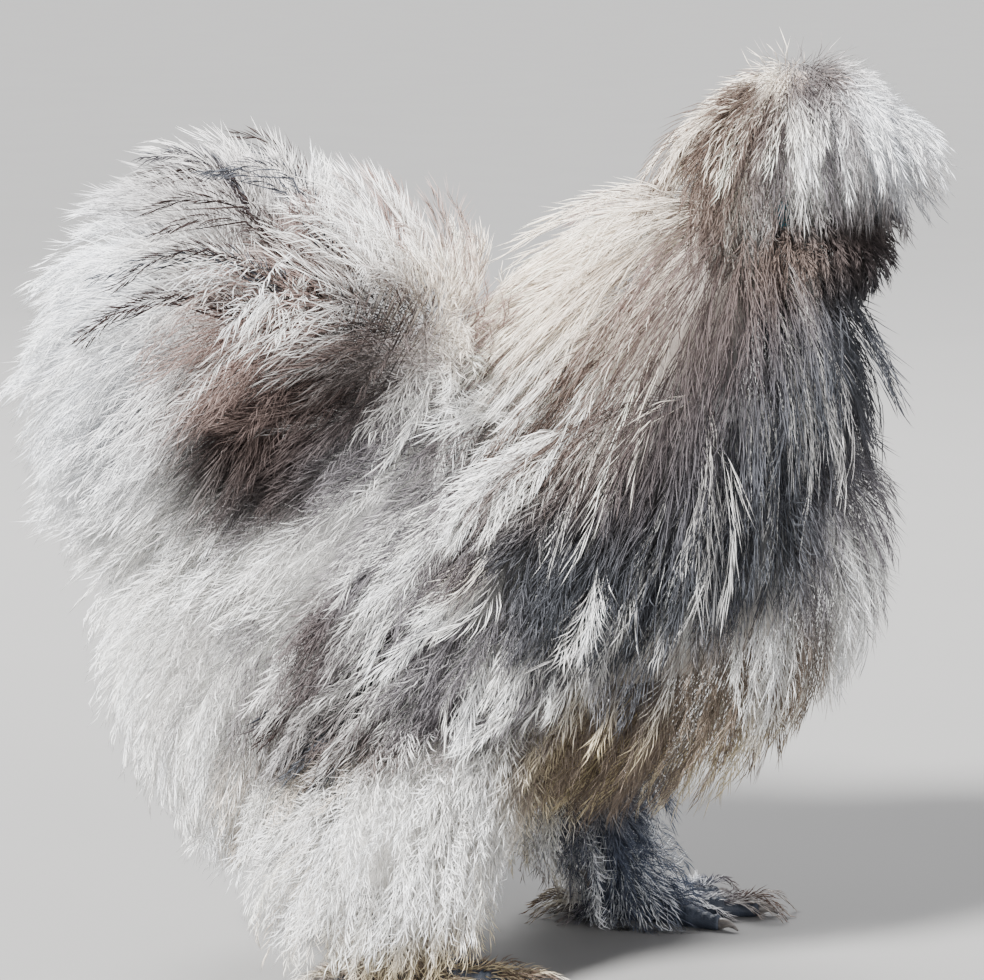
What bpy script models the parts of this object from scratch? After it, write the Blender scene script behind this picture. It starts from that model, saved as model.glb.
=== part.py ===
"""A silkie cock, life size, standing still: metres, +Z up, beak towards +X, its right side at -Y.

The flesh of each sub-part is a loft of oval rings. Its plumage is flat, tapered locks and vanes, set on that
flesh in staggered rows that fan out from where the feathers spring. The lofts reach about half way to the
tips of the plumage, and each sub-part is one closed body that keeps a small gap to its neighbours.
"""

import math
import random

import bmesh
import bpy
from mathutils import Matrix, Vector
from mathutils.bvhtree import BVHTree

MM = 0.001
GAP = 0.3 * MM
RIGHT, LEFT = -1, 1
SIDE_NAMES = {RIGHT: "right", LEFT: "left"}

# Rings of each loft, in millimetres and degrees: centre x, y, z, half-width across, half-depth, and the
# pitch of the loft's axis above the horizon.
HEAD_RINGS = [
    (105, 0, 309, 8, 9, 0),
    (110, 0, 310, 14, 15, 0),
    (118, 0, 311, 17.5, 19, 0),
    (130, 0, 311, 18, 19.5, -4),
    (142, 0, 308, 14, 15.5, -10),
    (149.5, 0, 305, 9.5, 11, -14),
    (152.5, 0, 304, 7.6, 8.8, -14),
]
UPPER_BEAK_RINGS = [
    (150, 0, 307.0, 7.0, 5.6, -12),
    (156.5, 0, 305.8, 5.6, 4.6, -18),
    (162, 0, 303.4, 3.7, 3.5, -32),
    (166, 0, 300.0, 2.0, 2.2, -50),
    (168, 0, 297.0, 0.8, 0.9, -62),
]
LOWER_BEAK_RINGS = [
    (150, 0, 297.8, 5.8, 2.6, -8),
    (155.5, 0, 297.2, 4.6, 2.3, -8),
    (161, 0, 296.6, 2.8, 1.6, -6),
    (164, 0, 296.4, 1.2, 0.8, -4),
]
CREST_RINGS = [
    (97, 0, 328, 8, 7, 0),
    (102, 0, 331, 18, 15, 0),
    (113, 0, 336, 25, 20, 0),
    (128, 0, 339, 27, 21, 0),
    (141, 0, 338, 24, 18, 0),
    (150, 0, 336, 15, 11, 0),
    (154, 0, 335, 7, 5, 0),
]
BEARD_RINGS = [
    (108, 0, 290, 11, 8, 0),
    (115, 0, 288, 25, 13, 0),
    (130, 0, 286, 30, 16, 0),
    (143, 0, 286, 24, 13, 0),
    (152, 0, 288, 11, 6, 0),
]
NECK_RINGS = [
    (56, 0, 203, 56, 60, 60),
    (73, 0, 234, 56, 60, 62),
    (88, 0, 262, 46, 50, 64),
    (100, 0, 284, 34, 38, 66),
    (109, 0, 300, 23, 27, 68),
]
TORSO_RINGS = [
    (-106, 0, 172, 14, 16, 0),
    (-93, 0, 174, 42, 40, 0),
    (-60, 0, 176, 62, 58, 3),
    (-15, 0, 172, 72, 68, 5),
    (35, 0, 170, 75, 74, 6),
    (80, 0, 174, 70, 72, 10),
    (115, 0, 184, 54, 58, 14),
    (137, 0, 192, 31, 36, 18),
    (146, 0, 195, 11, 14, 18),
]
ABDOMEN_RINGS = [
    (-120, 0, 132, 20, 22, 0),
    (-110, 0, 130, 40, 42, 0),
    (-88, 0, 124, 52, 52, 0),
    (-58, 0, 122, 52, 44, 0),
    (-32, 0, 130, 34, 28, 0),
    (-22, 0, 134, 12, 10, 0),
]
CUSHION_RINGS = [
    (-78, 0, 242, 24, 18, 10),
    (-64, 0, 246, 44, 29, 10),
    (-42, 0, 247, 52, 33, 5),
    (-20, 0, 243, 42, 27, -5),
    (-6, 0, 238, 20, 12, -15),
]
TAIL_RINGS = [
    (-139, 0, 243, 14, 14, 0),
    (-130, 0, 243, 33, 34, 0),
    (-108, 0, 243, 45, 48, 0),
    (-84, 0, 242, 44, 46, 0),
    (-64, 0, 240, 32, 32, 0),
    (-56, 0, 238, 12, 12, 0),
]
THIGH_RINGS = {
    RIGHT: [
        (14, 44, 150, 20, 22, -118),
        (8, 46, 138, 30, 34, -118),
        (-10, 51, 112, 31, 33, -123),
        (-28, 56, 86, 29, 30, -118),
        (-39, 59, 62, 27, 28, -106),
        (-43, 59, 42, 17, 18, -98),
    ],
    LEFT: [
        (36, 44, 152, 20, 22, -88),
        (36, 46, 136, 29, 33, -88),
        (36, 49, 112, 28, 31, -88),
        (38, 52, 88, 25, 27, -82),
        (42, 54, 66, 21, 23, -76),
        (46, 54, 50, 13, 14, -72),
    ],
}
HOCKS = {RIGHT: (-44, 58, 52), LEFT: (44, 54, 58)}
ANKLES = {RIGHT: (-30, 55, 8), LEFT: (66, 51, 8)}
SHANK_RADIUS = 6.5
SOLE_RADIUS = 9.0
WING_RINGS = [
    (96, 60, 226, 7, 11, -145),
    (80, 73, 215, 12, 27, -145),
    (45, 80, 192, 14, 37, -145),
    (5, 81, 166, 14, 36, -145),
    (-32, 79, 142, 10, 27, -145),
    (-56, 75, 127, 5, 14, -145),
]

# Where each coat fans out from, and its strokes: a place in millimetres, the length of the locks there, and
# their angle above the skin at the root and at the tip.
CREST_COAT = dict(
    source=(122, 0, 348),
    strokes=[
        ((126, 0, 360), 42, 26, 12),
        ((152, 0, 336), 46, 34, -16),
        ((146, 20, 336), 46, 34, -10),
        ((122, 28, 338), 46, 38, 0),
        ((97, 0, 328), 60, 44, 14),
        ((104, 18, 326), 54, 42, 8),
    ],
    spacing=15.5,
    width=12.5,
    thick=2.0,
    droop=0.3,
    seed=11,
)
BEARD_COAT = dict(
    source=(128, 0, 322),
    strokes=[
        ((146, 0, 280), 26, 34, 0),
        ((140, 20, 285), 24, 40, 5),
        ((124, 29, 286), 26, 46, 10),
        ((118, 0, 273), 30, 30, 10),
    ],
    spacing=15.5,
    width=12,
    thick=2.0,
    droop=0.2,
    segments=2,
    seed=12,
)
HACKLE_COAT = dict(
    source=(122, 0, 352),
    strokes=[
        ((72, 0, 300), 80, 34, 18),
        ((48, 0, 282), 80, 32, 16),
        ((102, 34, 288), 72, 36, 10),
        ((78, 56, 245), 80, 34, 8),
        ((120, 15, 270), 60, 42, 10),
        ((128, 0, 235), 56, 36, 8),
        ((90, 54, 215), 64, 30, 6),
    ],
    spacing=27.5,
    width=25,
    thick=2.0,
    droop=0.12,
    seed=13,
)
TORSO_COAT = dict(
    source=(150, 0, 330),
    strokes=[
        ((142, 0, 200), 42, 34, 8),
        ((112, 45, 190), 48, 32, 8),
        ((80, 30, 105), 58, 36, 20),
        ((40, 0, 96), 60, 45, 30),
        ((-20, 45, 115), 52, 32, 12),
        ((0, 0, 245), 54, 32, 12),
        ((-60, 60, 180), 54, 32, 10),
    ],
    spacing=37.5,
    width=35,
    thick=2.0,
    droop=0.25,
    segments=2,
    seed=14,
)
ABDOMEN_COAT = dict(
    source=(-40, 0, 225),
    strokes=[
        ((-108, 0, 80), 56, 30, 12),
        ((-120, 0, 140), 58, 40, 12),
        ((-104, 0, 172), 58, 46, 12),
        ((-90, 52, 120), 54, 36, 10),
        ((-60, 0, 76), 50, 38, 20),
    ],
    spacing=31,
    width=28,
    thick=2.0,
    droop=0.4,
    seed=15,
)
CUSHION_COAT = dict(
    source=(20, 0, 262),
    strokes=[
        ((-42, 0, 280), 68, 66, 42),
        ((-64, 0, 274), 66, 66, 42),
        ((-50, 50, 250), 62, 46, 12),
        ((-12, 20, 260), 58, 56, 30),
    ],
    spacing=20,
    width=18,
    thick=2.0,
    droop=0.1,
    seed=16,
)
TAIL_COAT = dict(
    source=(-60, 0, 214),
    strokes=[
        ((-78, 0, 285), 60, 72, 50),
        ((-98, 0, 291), 58, 66, 42),
        ((-125, 0, 275), 60, 60, 28),
        ((-139, 0, 243), 56, 56, 12),
        ((-125, 0, 208), 68, 58, 10),
        ((-100, 45, 243), 58, 48, 10),
        ((-80, 20, 200), 56, 45, 10),
    ],
    spacing=27,
    width=24,
    thick=2.0,
    droop=0.2,
    seed=17,
)
WING_COAT = dict(
    source=(104, 62, 236),
    strokes=[
        ((85, 84, 220), 34, 24, 10),
        ((45, 92, 195), 44, 24, 8),
        ((0, 94, 165), 52, 22, 6),
        ((-40, 88, 140), 60, 20, 4),
        ((-10, 80, 135), 60, 18, 4),
    ],
    spacing=29,
    width=27,
    thick=2.0,
    droop=0.1,
    segments=2,
    seed=18,
)
THIGH_COAT = dict(
    source=(20, 20, 175),
    strokes=[
        ((10, 80, 130), 46, 34, 8),
        ((-25, 84, 95), 48, 44, 12),
        ((-62, 70, 66), 46, 54, 8),
        ((-43, 60, 38), 36, 60, 0),
        ((-10, 70, 70), 50, 52, 14),
    ],
    spacing=30,
    width=28,
    thick=2.0,
    droop=0.3,
    segments=2,
    seed=19,
)
SHANK_COAT = dict(
    source=(10, 20, 160),
    strokes=[
        ((-35, 62, 24), 30, 58, 0),
        ((60, 58, 30), 40, 50, 0),
    ],
    spacing=12,
    width=13,
    thick=2.0,
    droop=0.25,
    segments=3,
    seed=20,
)

EYE_CENTRE = (137, 11.4, 313)
EYE_RADIUS = 5.3
EYE_FACETS = (6, 10)
LID_RADIUS = 1.3
NOSTRIL = (154.5, 4.6, 308.0)
NOSTRIL_RADIUS = 1.2
EAR_LOBE = (121, 17.6, 302)
EAR_LOBE_RADII = (4.8, 2.8, 6.2)
COMB_CENTRE = (149.0, 0, 315.5)
COMB_BULB_RADIUS = 4.2
COMB_CLEARANCE = (10.5, 13.5, 9.8)
COMB_RINGS = ((0, 1, 4.5), (4.6, 4, 2.5), (7.4, 5, -1.0))

# Toes: heading in degrees out from straight ahead, length, and rise of the tip, in millimetres.
TOES = (
    ("inner", -30, 40, 0),
    ("middle", 2, 52, 0),
    ("outer", 36, 45, 0),
    ("hind", 176, 25, 0),
    ("fifth", -146, 22, 13),
)
TOE_RADIUS = 4.4
TOE_SWELLS = ((0, 1.1), (0.18, 1.0), (0.36, 1.12), (0.5, 0.92), (0.66, 1.05), (0.8, 0.84), (1, 0.72))
# Where feathers spring along each toe, and how far they swing out from it.
FOOT_FEATHERS = {
    "middle": ((0.12, 32), (0.35, -26), (0.5, 24), (0.78, -20)),
    "outer": ((0.25, 34), (0.6, 26)),
}
FOOT_FEATHER = 27
FOOT_ARCH = ((0, 0), (0.45, 6.5), (1, -0.5))
CLAW_LENGTH = 8.5


def blend(a, b, share):
    return a + (b - a) * share


def smooth_between(before, start, end, after, share):
    """The Catmull-Rom curve from start to end."""
    return 0.5 * (
        2 * start
        + (end - before) * share
        + (2 * before - 5 * start + 4 * end - after) * share**2
        + (3 * start - before - 3 * end + after) * share**3
    )


class Loft:
    """A closed body of oval rings along a bent axis that stays in a plane of constant y."""

    LEAST_RADIUS = 0.4 * MM
    POLE_SHARE = 0.45

    def __init__(self, rings, grow=0.0, along=10, sides=16):
        self.pole_share = self.POLE_SHARE
        self.rings = [[v * MM for v in ring[:5]] + [math.radians(ring[5])] for ring in rings]
        self.grow = grow
        self.along = along
        self.sides = sides

    def grown(self, amount):
        """The same loft with its skin moved out."""
        copy = Loft([], amount, self.along, self.sides)
        copy.rings = self.rings
        copy.pole_share = self.pole_share
        return copy

    def mirrored(self):
        """The same loft on the other side of the bird."""
        copy = self.grown(self.grow)
        copy.rings = [[r[0], -r[1], *r[2:]] for r in self.rings]
        return copy

    def ring(self, t):
        """Centre, half-width, half-depth and pitch at t, which runs from 0 to 1."""
        last = len(self.rings) - 1
        place = min(max(t, 0.0), 1.0) * last
        i = min(int(place), last - 1)
        picked = [self.rings[min(max(k, 0), last)] for k in (i - 1, i, i + 1, i + 2)]
        x, y, z, wide, deep, pitch = (smooth_between(*four, place - i) for four in zip(*picked))
        wide = max(wide, self.LEAST_RADIUS) + self.grow
        deep = max(deep, self.LEAST_RADIUS) + self.grow
        return Vector((x, y, z)), wide, deep, pitch

    def point(self, t, angle):
        """A point on the skin; angle 0 is the +Y side and a quarter turn is the top of a level loft."""
        centre, wide, deep, pitch = self.ring(t)
        up = Vector((-math.sin(pitch), 0, math.cos(pitch)))
        return centre + Vector((0, wide * math.cos(angle), 0)) + up * (deep * math.sin(angle))

    def normal(self, t, angle, step=0.01):
        """The outward direction of the skin there."""
        round_it = self.point(t, angle + step) - self.point(t, angle - step)
        along_it = self.point(min(t + step, 1), angle) - self.point(max(t - step, 0), angle)
        out = round_it.cross(along_it).normalized()
        centre = self.ring(t)[0]
        return out if out.dot(self.point(t, angle) - centre) >= 0 else -out

    def pole(self, t):
        """The point that closes an end."""
        centre, wide, deep, pitch = self.ring(t)
        reach = self.pole_share * min(wide, deep) * (1 if t > 0.5 else -1)
        return centre + Vector((math.cos(pitch), 0, math.sin(pitch))) * reach

    def build(self, name):
        """The loft as a mesh object."""
        bm = bmesh.new()
        rings = []
        for i in range(self.along + 1):
            t = i / self.along
            angles = (2 * math.pi * k / self.sides for k in range(self.sides))
            rings.append([bm.verts.new(self.point(t, a)) for a in angles])
        for near, far in zip(rings, rings[1:]):
            for k in range(self.sides):
                n = (k + 1) % self.sides
                bm.faces.new((near[k], near[n], far[n], far[k]))
        for t, ring in ((0, rings[0]), (1, rings[-1])):
            pole = bm.verts.new(self.pole(t))
            for k in range(self.sides):
                bm.faces.new((ring[k], ring[(k + 1) % self.sides], pole))
        bmesh.ops.recalc_face_normals(bm, faces=bm.faces)
        return new_object(name, bm)


def new_object(name, bm):
    """Puts a bmesh in the scene as an object."""
    mesh = bpy.data.meshes.new(name)
    bm.to_mesh(mesh)
    bm.free()
    obj = bpy.data.objects.new(name, mesh)
    bpy.context.scene.collection.objects.link(obj)
    return obj


def remove(obj):
    bpy.data.objects.remove(obj, do_unlink=True)


def apply_modifiers(obj):
    """Makes the evaluated mesh the object's own."""
    bpy.context.view_layer.update()
    graph = bpy.context.evaluated_depsgraph_get()
    mesh = bpy.data.meshes.new_from_object(obj.evaluated_get(graph))
    obj.modifiers.clear()
    obj.data = mesh


def keep_largest(obj):
    """Drops every closed surface but the one that encloses most."""
    bm = bmesh.new()
    bm.from_mesh(obj.data)
    unseen = set(bm.faces)
    shells = []
    while unseen:
        front = [unseen.pop()]
        shell = list(front)
        while front:
            face = front.pop()
            near = {f for e in face.edges for f in e.link_faces} & unseen
            unseen -= near
            front.extend(near)
            shell.extend(near)
        shells.append(shell)
    spans = [sum(f.calc_area() for f in shell) for shell in shells]
    kept = shells[spans.index(max(spans))]
    scraps = [f for shell in shells if shell is not kept for f in shell]
    if scraps:
        bmesh.ops.delete(bm, geom=scraps, context="FACES")
        bm.to_mesh(obj.data)
    bm.free()


def fuse(core, pieces):
    """Joins the pieces to the core by one Boolean union, and removes them."""
    group = bpy.data.collections.new("pieces")
    bpy.context.scene.collection.children.link(group)
    for piece in pieces:
        bpy.context.scene.collection.objects.unlink(piece)
        group.objects.link(piece)
    join = core.modifiers.new("join", "BOOLEAN")
    join.operation = "UNION"
    join.operand_type = "COLLECTION"
    join.collection = group
    join.solver = "MANIFOLD"
    apply_modifiers(core)
    for piece in list(group.objects):
        remove(piece)
    bpy.data.collections.remove(group)
    keep_largest(core)
    return core


def carve(body, cutter):
    """Cuts the cutter out of the body, and removes the cutter."""
    cut = body.modifiers.new("cut", "BOOLEAN")
    cut.operation = "DIFFERENCE"
    cut.object = cutter
    cut.solver = "MANIFOLD"
    apply_modifiers(body)
    remove(cutter)
    keep_largest(body)


def tree_of(obj):
    bm = bmesh.new()
    bm.from_mesh(obj.data)
    tree = BVHTree.FromBMesh(bm)
    bm.free()
    return tree


def clears(obj, trees):
    """Whether an object's skin crosses none of the others."""
    own = tree_of(obj)
    return not any(own.overlap(tree) for tree in trees)


def tapered(path, across, widths, thicknesses, name="lock"):
    """A flat lock or vane along a path, ridged along its upper side, that ends in a point."""
    bm = bmesh.new()
    rings = []
    for i, (place, wide, thick) in enumerate(zip(path[:-1], widths, thicknesses)):
        ahead = (path[i + 1] - path[max(i - 1, 0)]).normalized()
        side = (across - ahead * across.dot(ahead)).normalized()
        up = ahead.cross(side)
        corners = (side * wide / 2 - up * thick / 3, up * thick * 2 / 3, -side * wide / 2 - up * thick / 3)
        rings.append([bm.verts.new(place + corner) for corner in corners])
    for near, far in zip(rings, rings[1:]):
        for k in range(3):
            n = (k + 1) % 3
            bm.faces.new((near[k], near[n], far[n]))
            bm.faces.new((near[k], far[n], far[k]))
    tip = bm.verts.new(path[-1])
    for k in range(3):
        bm.faces.new((rings[-1][k], rings[-1][(k + 1) % 3], tip))
    bm.faces.new(rings[0])
    bmesh.ops.recalc_face_normals(bm, faces=bm.faces)
    return new_object(name, bm)


class Plumage:
    """Locks set on a loft in staggered rows, fanning out from one source.

    Each stroke gives, near a place on the skin, the length of the locks in millimetres, and their angle above
    the skin where they spring and at the tip. Between strokes these blend by distance.
    """

    # For each number of segments: where the sections lie along a lock, and their widths and thicknesses.
    SHAPES = {
        2: ((0.0, 0.46, 1.0), (0.72, 1.0), (1.0, 0.9)),
        3: ((0.0, 0.3, 0.66, 1.0), (0.5, 1.0, 0.78), (1.0, 1.0, 0.7)),
    }
    TRIES = ((0.0, 1.0), (-12.0, 1.0), (12.0, 1.0), (-24.0, 0.85), (24.0, 0.8), (-8.0, 0.65))
    SINK = 4.0 * MM
    ROOT_SLACK = 1.5 * MM

    def __init__(self, source, strokes, spacing, width, thick, droop=0.0, segments=3, seed=1, bare_side=0):
        self.source = Vector(source) * MM
        self.strokes = [(Vector(place) * MM, length * MM, *angles) for place, length, *angles in strokes]
        self.spacing = spacing * MM
        self.width = width * MM
        self.thick = thick * MM
        self.droop = droop
        self.segments = segments
        self.seed = seed
        self.bare_side = bare_side

    def stroke_at(self, place):
        """Length and the two angles there."""
        mirrored = Vector((place.x, abs(place.y), place.z))
        weights = [1 / ((mirrored - p).length_squared + (2 * MM) ** 2) ** 1.5 for p, *_ in self.strokes]
        total = sum(weights)
        return [sum(w * s[k] for w, s in zip(weights, self.strokes)) / total for k in (1, 2, 3)]

    def path(self, root, normal, length, lift, settle):
        """Points from the sunk root to the tip, and the direction across the lock."""
        ray = root - self.source
        ahead = (ray - normal * ray.dot(normal)).normalized()
        shares = self.SHAPES[self.segments][0]
        place = root - normal * self.SINK
        places = [place]
        for near, far in zip(shares, shares[1:]):
            middle = (near + far) / 2
            angle = math.radians(blend(lift, settle, middle))
            heading = ahead * math.cos(angle) + normal * math.sin(angle)
            heading += Vector((0, 0, -1)) * (self.droop * middle)
            place = place + heading.normalized() * (length * (far - near) + (self.SINK if near == 0 else 0))
            places.append(place)
        return places, normal.cross(ahead).normalized()

    def roots(self, loft):
        """Staggered places on the loft, as (t, angle)."""
        steps = 60
        marks = [loft.point(i / steps, 0) for i in range(steps + 1)]
        ends = (self.spacing * 0.25, self.spacing * 0.25)
        lengths = [0.0]
        for a, b in zip(marks, marks[1:]):
            lengths.append(lengths[-1] + (b - a).length)
        rows = max(2, round((lengths[-1] - sum(ends)) / (self.spacing * 0.87)) + 1)
        for row in range(rows):
            along = blend(ends[0], lengths[-1] - ends[1], row / (rows - 1))
            t = next(i for i, far in enumerate(lengths) if far >= along - 1e-9) / steps
            _, wide, deep, _ = loft.ring(t)
            girth = math.pi * (wide + deep)
            count = max(3, round(girth / self.spacing))
            for k in range(count):
                yield t, 2 * math.pi * (k + 0.5 * (row % 2)) / count + math.pi / 2

    def grow(self, loft, body, blockers):
        """The locks of one sub-part as separate closed meshes, clear of the blockers."""
        rng = random.Random(self.seed)
        skin = tree_of(body)
        _, widths, thicknesses = self.SHAPES[self.segments]
        locks = []
        for t, angle in self.roots(loft):
            angle += rng.uniform(-0.03, 0.03)
            root, normal = loft.point(t, angle), loft.normal(t, angle)
            if skin.find_nearest(root)[3] > self.ROOT_SLACK or normal.y * self.bare_side > 0.1:
                continue
            length, lift, settle = self.stroke_at(root)
            length *= rng.uniform(0.92, 1.06)
            lift += rng.uniform(-2.5, 2.5)
            wide = self.width * rng.uniform(0.94, 1.06)
            for tilt, share in self.TRIES:
                path, across = self.path(root, normal, length * share, lift + tilt, settle + tilt)
                roomy = [[size * s + 2 * GAP for s in shape] for size, shape in
                         ((wide, widths), (self.thick, thicknesses))]
                probe = tapered(path, across, *roomy)
                is_clear = clears(probe, blockers)
                remove(probe)
                if is_clear:
                    sizes = [wide * w for w in widths]
                    locks.append(tapered(path, across, sizes, [self.thick * s for s in thicknesses]))
                    break
        return locks


def paint(obj, hex_colour, roughness=0.85):
    """Gives an object its own plain material."""
    channels = [int(hex_colour[i : i + 2], 16) / 255 for i in (1, 3, 5)]
    linear = [c / 12.92 if c <= 0.04045 else ((c + 0.055) / 1.055) ** 2.4 for c in channels]
    material = bpy.data.materials.new(obj.name)
    material.use_nodes = True
    shader = material.node_tree.nodes["Principled BSDF"]
    shader.inputs["Base Color"].default_value = (*linear, 1)
    shader.inputs["Roughness"].default_value = roughness
    shader.inputs["Metallic"].default_value = 0.0
    obj.data.materials.clear()
    obj.data.materials.append(material)


def ball(name, centre, radii, rings, sides):
    """An ellipsoid, sizes in millimetres."""
    bm = bmesh.new()
    bmesh.ops.create_uvsphere(bm, u_segments=sides, v_segments=rings, radius=1.0)
    bm.transform(Matrix.Translation(Vector(centre) * MM) @ Matrix.Diagonal((*(r * MM for r in radii), 1)))
    return new_object(name, bm)


def lid(centre, outward, radius, thickness, steps=11, sides=4):
    """The ring of skin round an eye."""
    bm = bmesh.new()
    turn = Vector((0, 0, 1)).rotation_difference(outward).to_matrix().to_4x4()
    rings = []
    for i in range(steps):
        a = 2 * math.pi * i / steps
        ring = []
        for k in range(sides):
            b = 2 * math.pi * k / sides
            reach = radius + thickness * math.cos(b)
            ring.append(bm.verts.new((reach * math.cos(a), reach * math.sin(a), thickness * math.sin(b))))
        rings.append(ring)
    for i in range(steps):
        near, far = rings[i], rings[(i + 1) % steps]
        for k in range(sides):
            n = (k + 1) % sides
            bm.faces.new((near[k], near[n], far[n], far[k]))
    bmesh.ops.recalc_face_normals(bm, faces=bm.faces)
    bm.transform(Matrix.Translation(centre) @ turn)
    return new_object("lid", bm)


class Bird:
    """The bird's sub-parts, each carved by those it grows from and coated with its own locks."""

    def __init__(self):
        self.nodes = {}
        self.lofts = {}
        bm = bmesh.new()
        bmesh.ops.create_grid(bm, x_segments=1, y_segments=1, size=1.0)
        bm.transform(Matrix.Translation((0, 0, GAP)))
        self.floor = BVHTree.FromBMesh(bm)
        bm.free()

    def add(self, name, obj, colour, roughness=0.85):
        obj.name = name
        self.nodes[name] = obj
        paint(obj, colour, roughness)
        return obj

    def add_loft(self, name, loft, colour, parents=(), roughness=0.85):
        """A loft as a sub-part, with the lofts of its parents cut out of it."""
        obj = loft.build(name)
        for parent in parents:
            carve(obj, self.lofts[parent].grown(GAP).build("cutter"))
        self.lofts[name] = loft
        return self.add(name, obj, colour, roughness)

    def others(self, name):
        """The surfaces that the plumage of one sub-part keeps clear of."""
        return [tree_of(obj) for other, obj in self.nodes.items() if other != name] + [self.floor]

    def fuse_on(self, name, locks):
        """Fuses locks with a sub-part, which keeps its material."""
        own = self.nodes[name]
        material = own.data.materials[0]
        fuse(own, locks)
        own.data.materials.clear()
        own.data.materials.append(material)

    def coat(self, name, sizes):
        """Grows a coat on a sub-part, clear of all the others, and fuses it."""
        locks = Plumage(**sizes).grow(self.lofts[name], self.nodes[name], self.others(name))
        self.fuse_on(name, locks)


def build_head(bird):
    bird.add_loft("beak_upper", Loft(UPPER_BEAK_RINGS, along=7, sides=12), "#4A4B52", roughness=0.45)
    bird.add_loft("beak_lower", Loft(LOWER_BEAK_RINGS, along=5, sides=10), "#45464D", roughness=0.45)
    skull = Loft(HEAD_RINGS, along=9, sides=16)
    head = bird.add_loft("head", skull, "#3A3740", ("beak_upper", "beak_lower"), roughness=0.6)
    pits = []
    lids = []
    for side, word in SIDE_NAMES.items():
        centre = (EYE_CENTRE[0], side * EYE_CENTRE[1], EYE_CENTRE[2])
        bird.add("eye_" + word, ball("eye", centre, [EYE_RADIUS] * 3, *EYE_FACETS), "#120E0D", 0.08)
        outward = Vector((0.16, side, 0.05)).normalized()
        rim = Vector(centre) * MM + outward * (EYE_RADIUS * 0.52 * MM)
        lids.append(lid(rim, outward, EYE_RADIUS * 0.9 * MM, LID_RADIUS * MM))
        nostril = (NOSTRIL[0], side * NOSTRIL[1], NOSTRIL[2])
        pits.append(ball("pit", nostril, (NOSTRIL_RADIUS * 1.5, NOSTRIL_RADIUS, NOSTRIL_RADIUS * 0.8), 4, 6))
        lobe = ball("lobe", (EAR_LOBE[0], side * EAR_LOBE[1], EAR_LOBE[2]), EAR_LOBE_RADII, 6, 9)
        carve(lobe, skull.grown(GAP).build("cutter"))
        bird.add("ear_lobe_" + word, lobe, "#5E9AA3", 0.5)
    fuse(head, lids)
    for side in SIDE_NAMES:
        centre = (EYE_CENTRE[0], side * EYE_CENTRE[1], EYE_CENTRE[2])
        carve(head, ball("cutter", centre, [EYE_RADIUS + GAP / MM] * 3, *EYE_FACETS))
    for pit in pits:
        carve(bird.nodes["beak_upper"], pit)


def build_comb(bird):
    """A walnut comb: rings of bulbs round one on top."""
    bulbs = []
    for reach, count, rise in COMB_RINGS:
        for k in range(count):
            a = 2 * math.pi * (k + 0.3) / count
            centre = (
                COMB_CENTRE[0] + 0.6 * reach * math.cos(a),
                reach * math.sin(a),
                COMB_CENTRE[2] + rise - 0.4 * reach * math.cos(a),
            )
            size = COMB_BULB_RADIUS * (1 + 0.12 * math.sin(5 * k + reach))
            bulbs.append(ball("bulb", centre, [size] * 3, 5, 6))
    comb = fuse(bulbs[0], bulbs[1:])
    for name in ("head", "beak_upper"):
        carve(comb, bird.lofts[name].grown(GAP).build("cutter"))
    bird.add("comb", comb, "#4B2C3A", 0.6)


def clear_face(body):
    """Cuts room in the body for the comb, the eyes with their lids, and the ear lobes."""
    carve(body, ball("cutter", COMB_CENTRE, COMB_CLEARANCE, 5, 9))
    room = GAP / MM + LID_RADIUS
    for side in SIDE_NAMES:
        eye = (EYE_CENTRE[0], side * (EYE_CENTRE[1] + LID_RADIUS), EYE_CENTRE[2])
        carve(body, ball("cutter", eye, [EYE_RADIUS + room] * 3, 5, 8))
        lobe = (EAR_LOBE[0], side * EAR_LOBE[1], EAR_LOBE[2])
        carve(body, ball("cutter", lobe, [r + 3 * GAP / MM for r in EAR_LOBE_RADII], 6, 9))


def build_trunk(bird):
    bird.add_loft("torso", Loft(TORSO_RINGS, along=12, sides=20), "#CFC8C2")
    bird.add_loft("neck", Loft(NECK_RINGS, along=8, sides=16), "#CFC6BE", ("torso", "head"))
    bird.add_loft("crest", Loft(CREST_RINGS, along=8, sides=14), "#DDD9D6", ("head", "neck"))
    beard = Loft(BEARD_RINGS, along=6, sides=14)
    bird.add_loft("beard", beard, "#6E6064", ("head", "neck", "beak_upper", "beak_lower"))
    for name in ("neck", "crest", "beard"):
        clear_face(bird.nodes[name])
    bird.add_loft("cushion", Loft(CUSHION_RINGS, along=6, sides=16), "#E2DBD3", ("torso",))
    bird.add_loft("tail", Loft(TAIL_RINGS, along=8, sides=16), "#B3A39B", ("torso", "cushion"))
    bird.add_loft("abdomen", Loft(ABDOMEN_RINGS, along=8, sides=16), "#D5CEC8", ("torso", "tail"))


def placed_loft(rings, side, **sizes):
    loft = Loft(rings, **sizes)
    return loft if side == LEFT else loft.mirrored()


def build_wings(bird):
    for side, word in SIDE_NAMES.items():
        loft = placed_loft(WING_RINGS, side, along=8, sides=12)
        bird.add_loft("wing_" + word, loft, "#D3D0CE", ("torso", "neck"))


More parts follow.
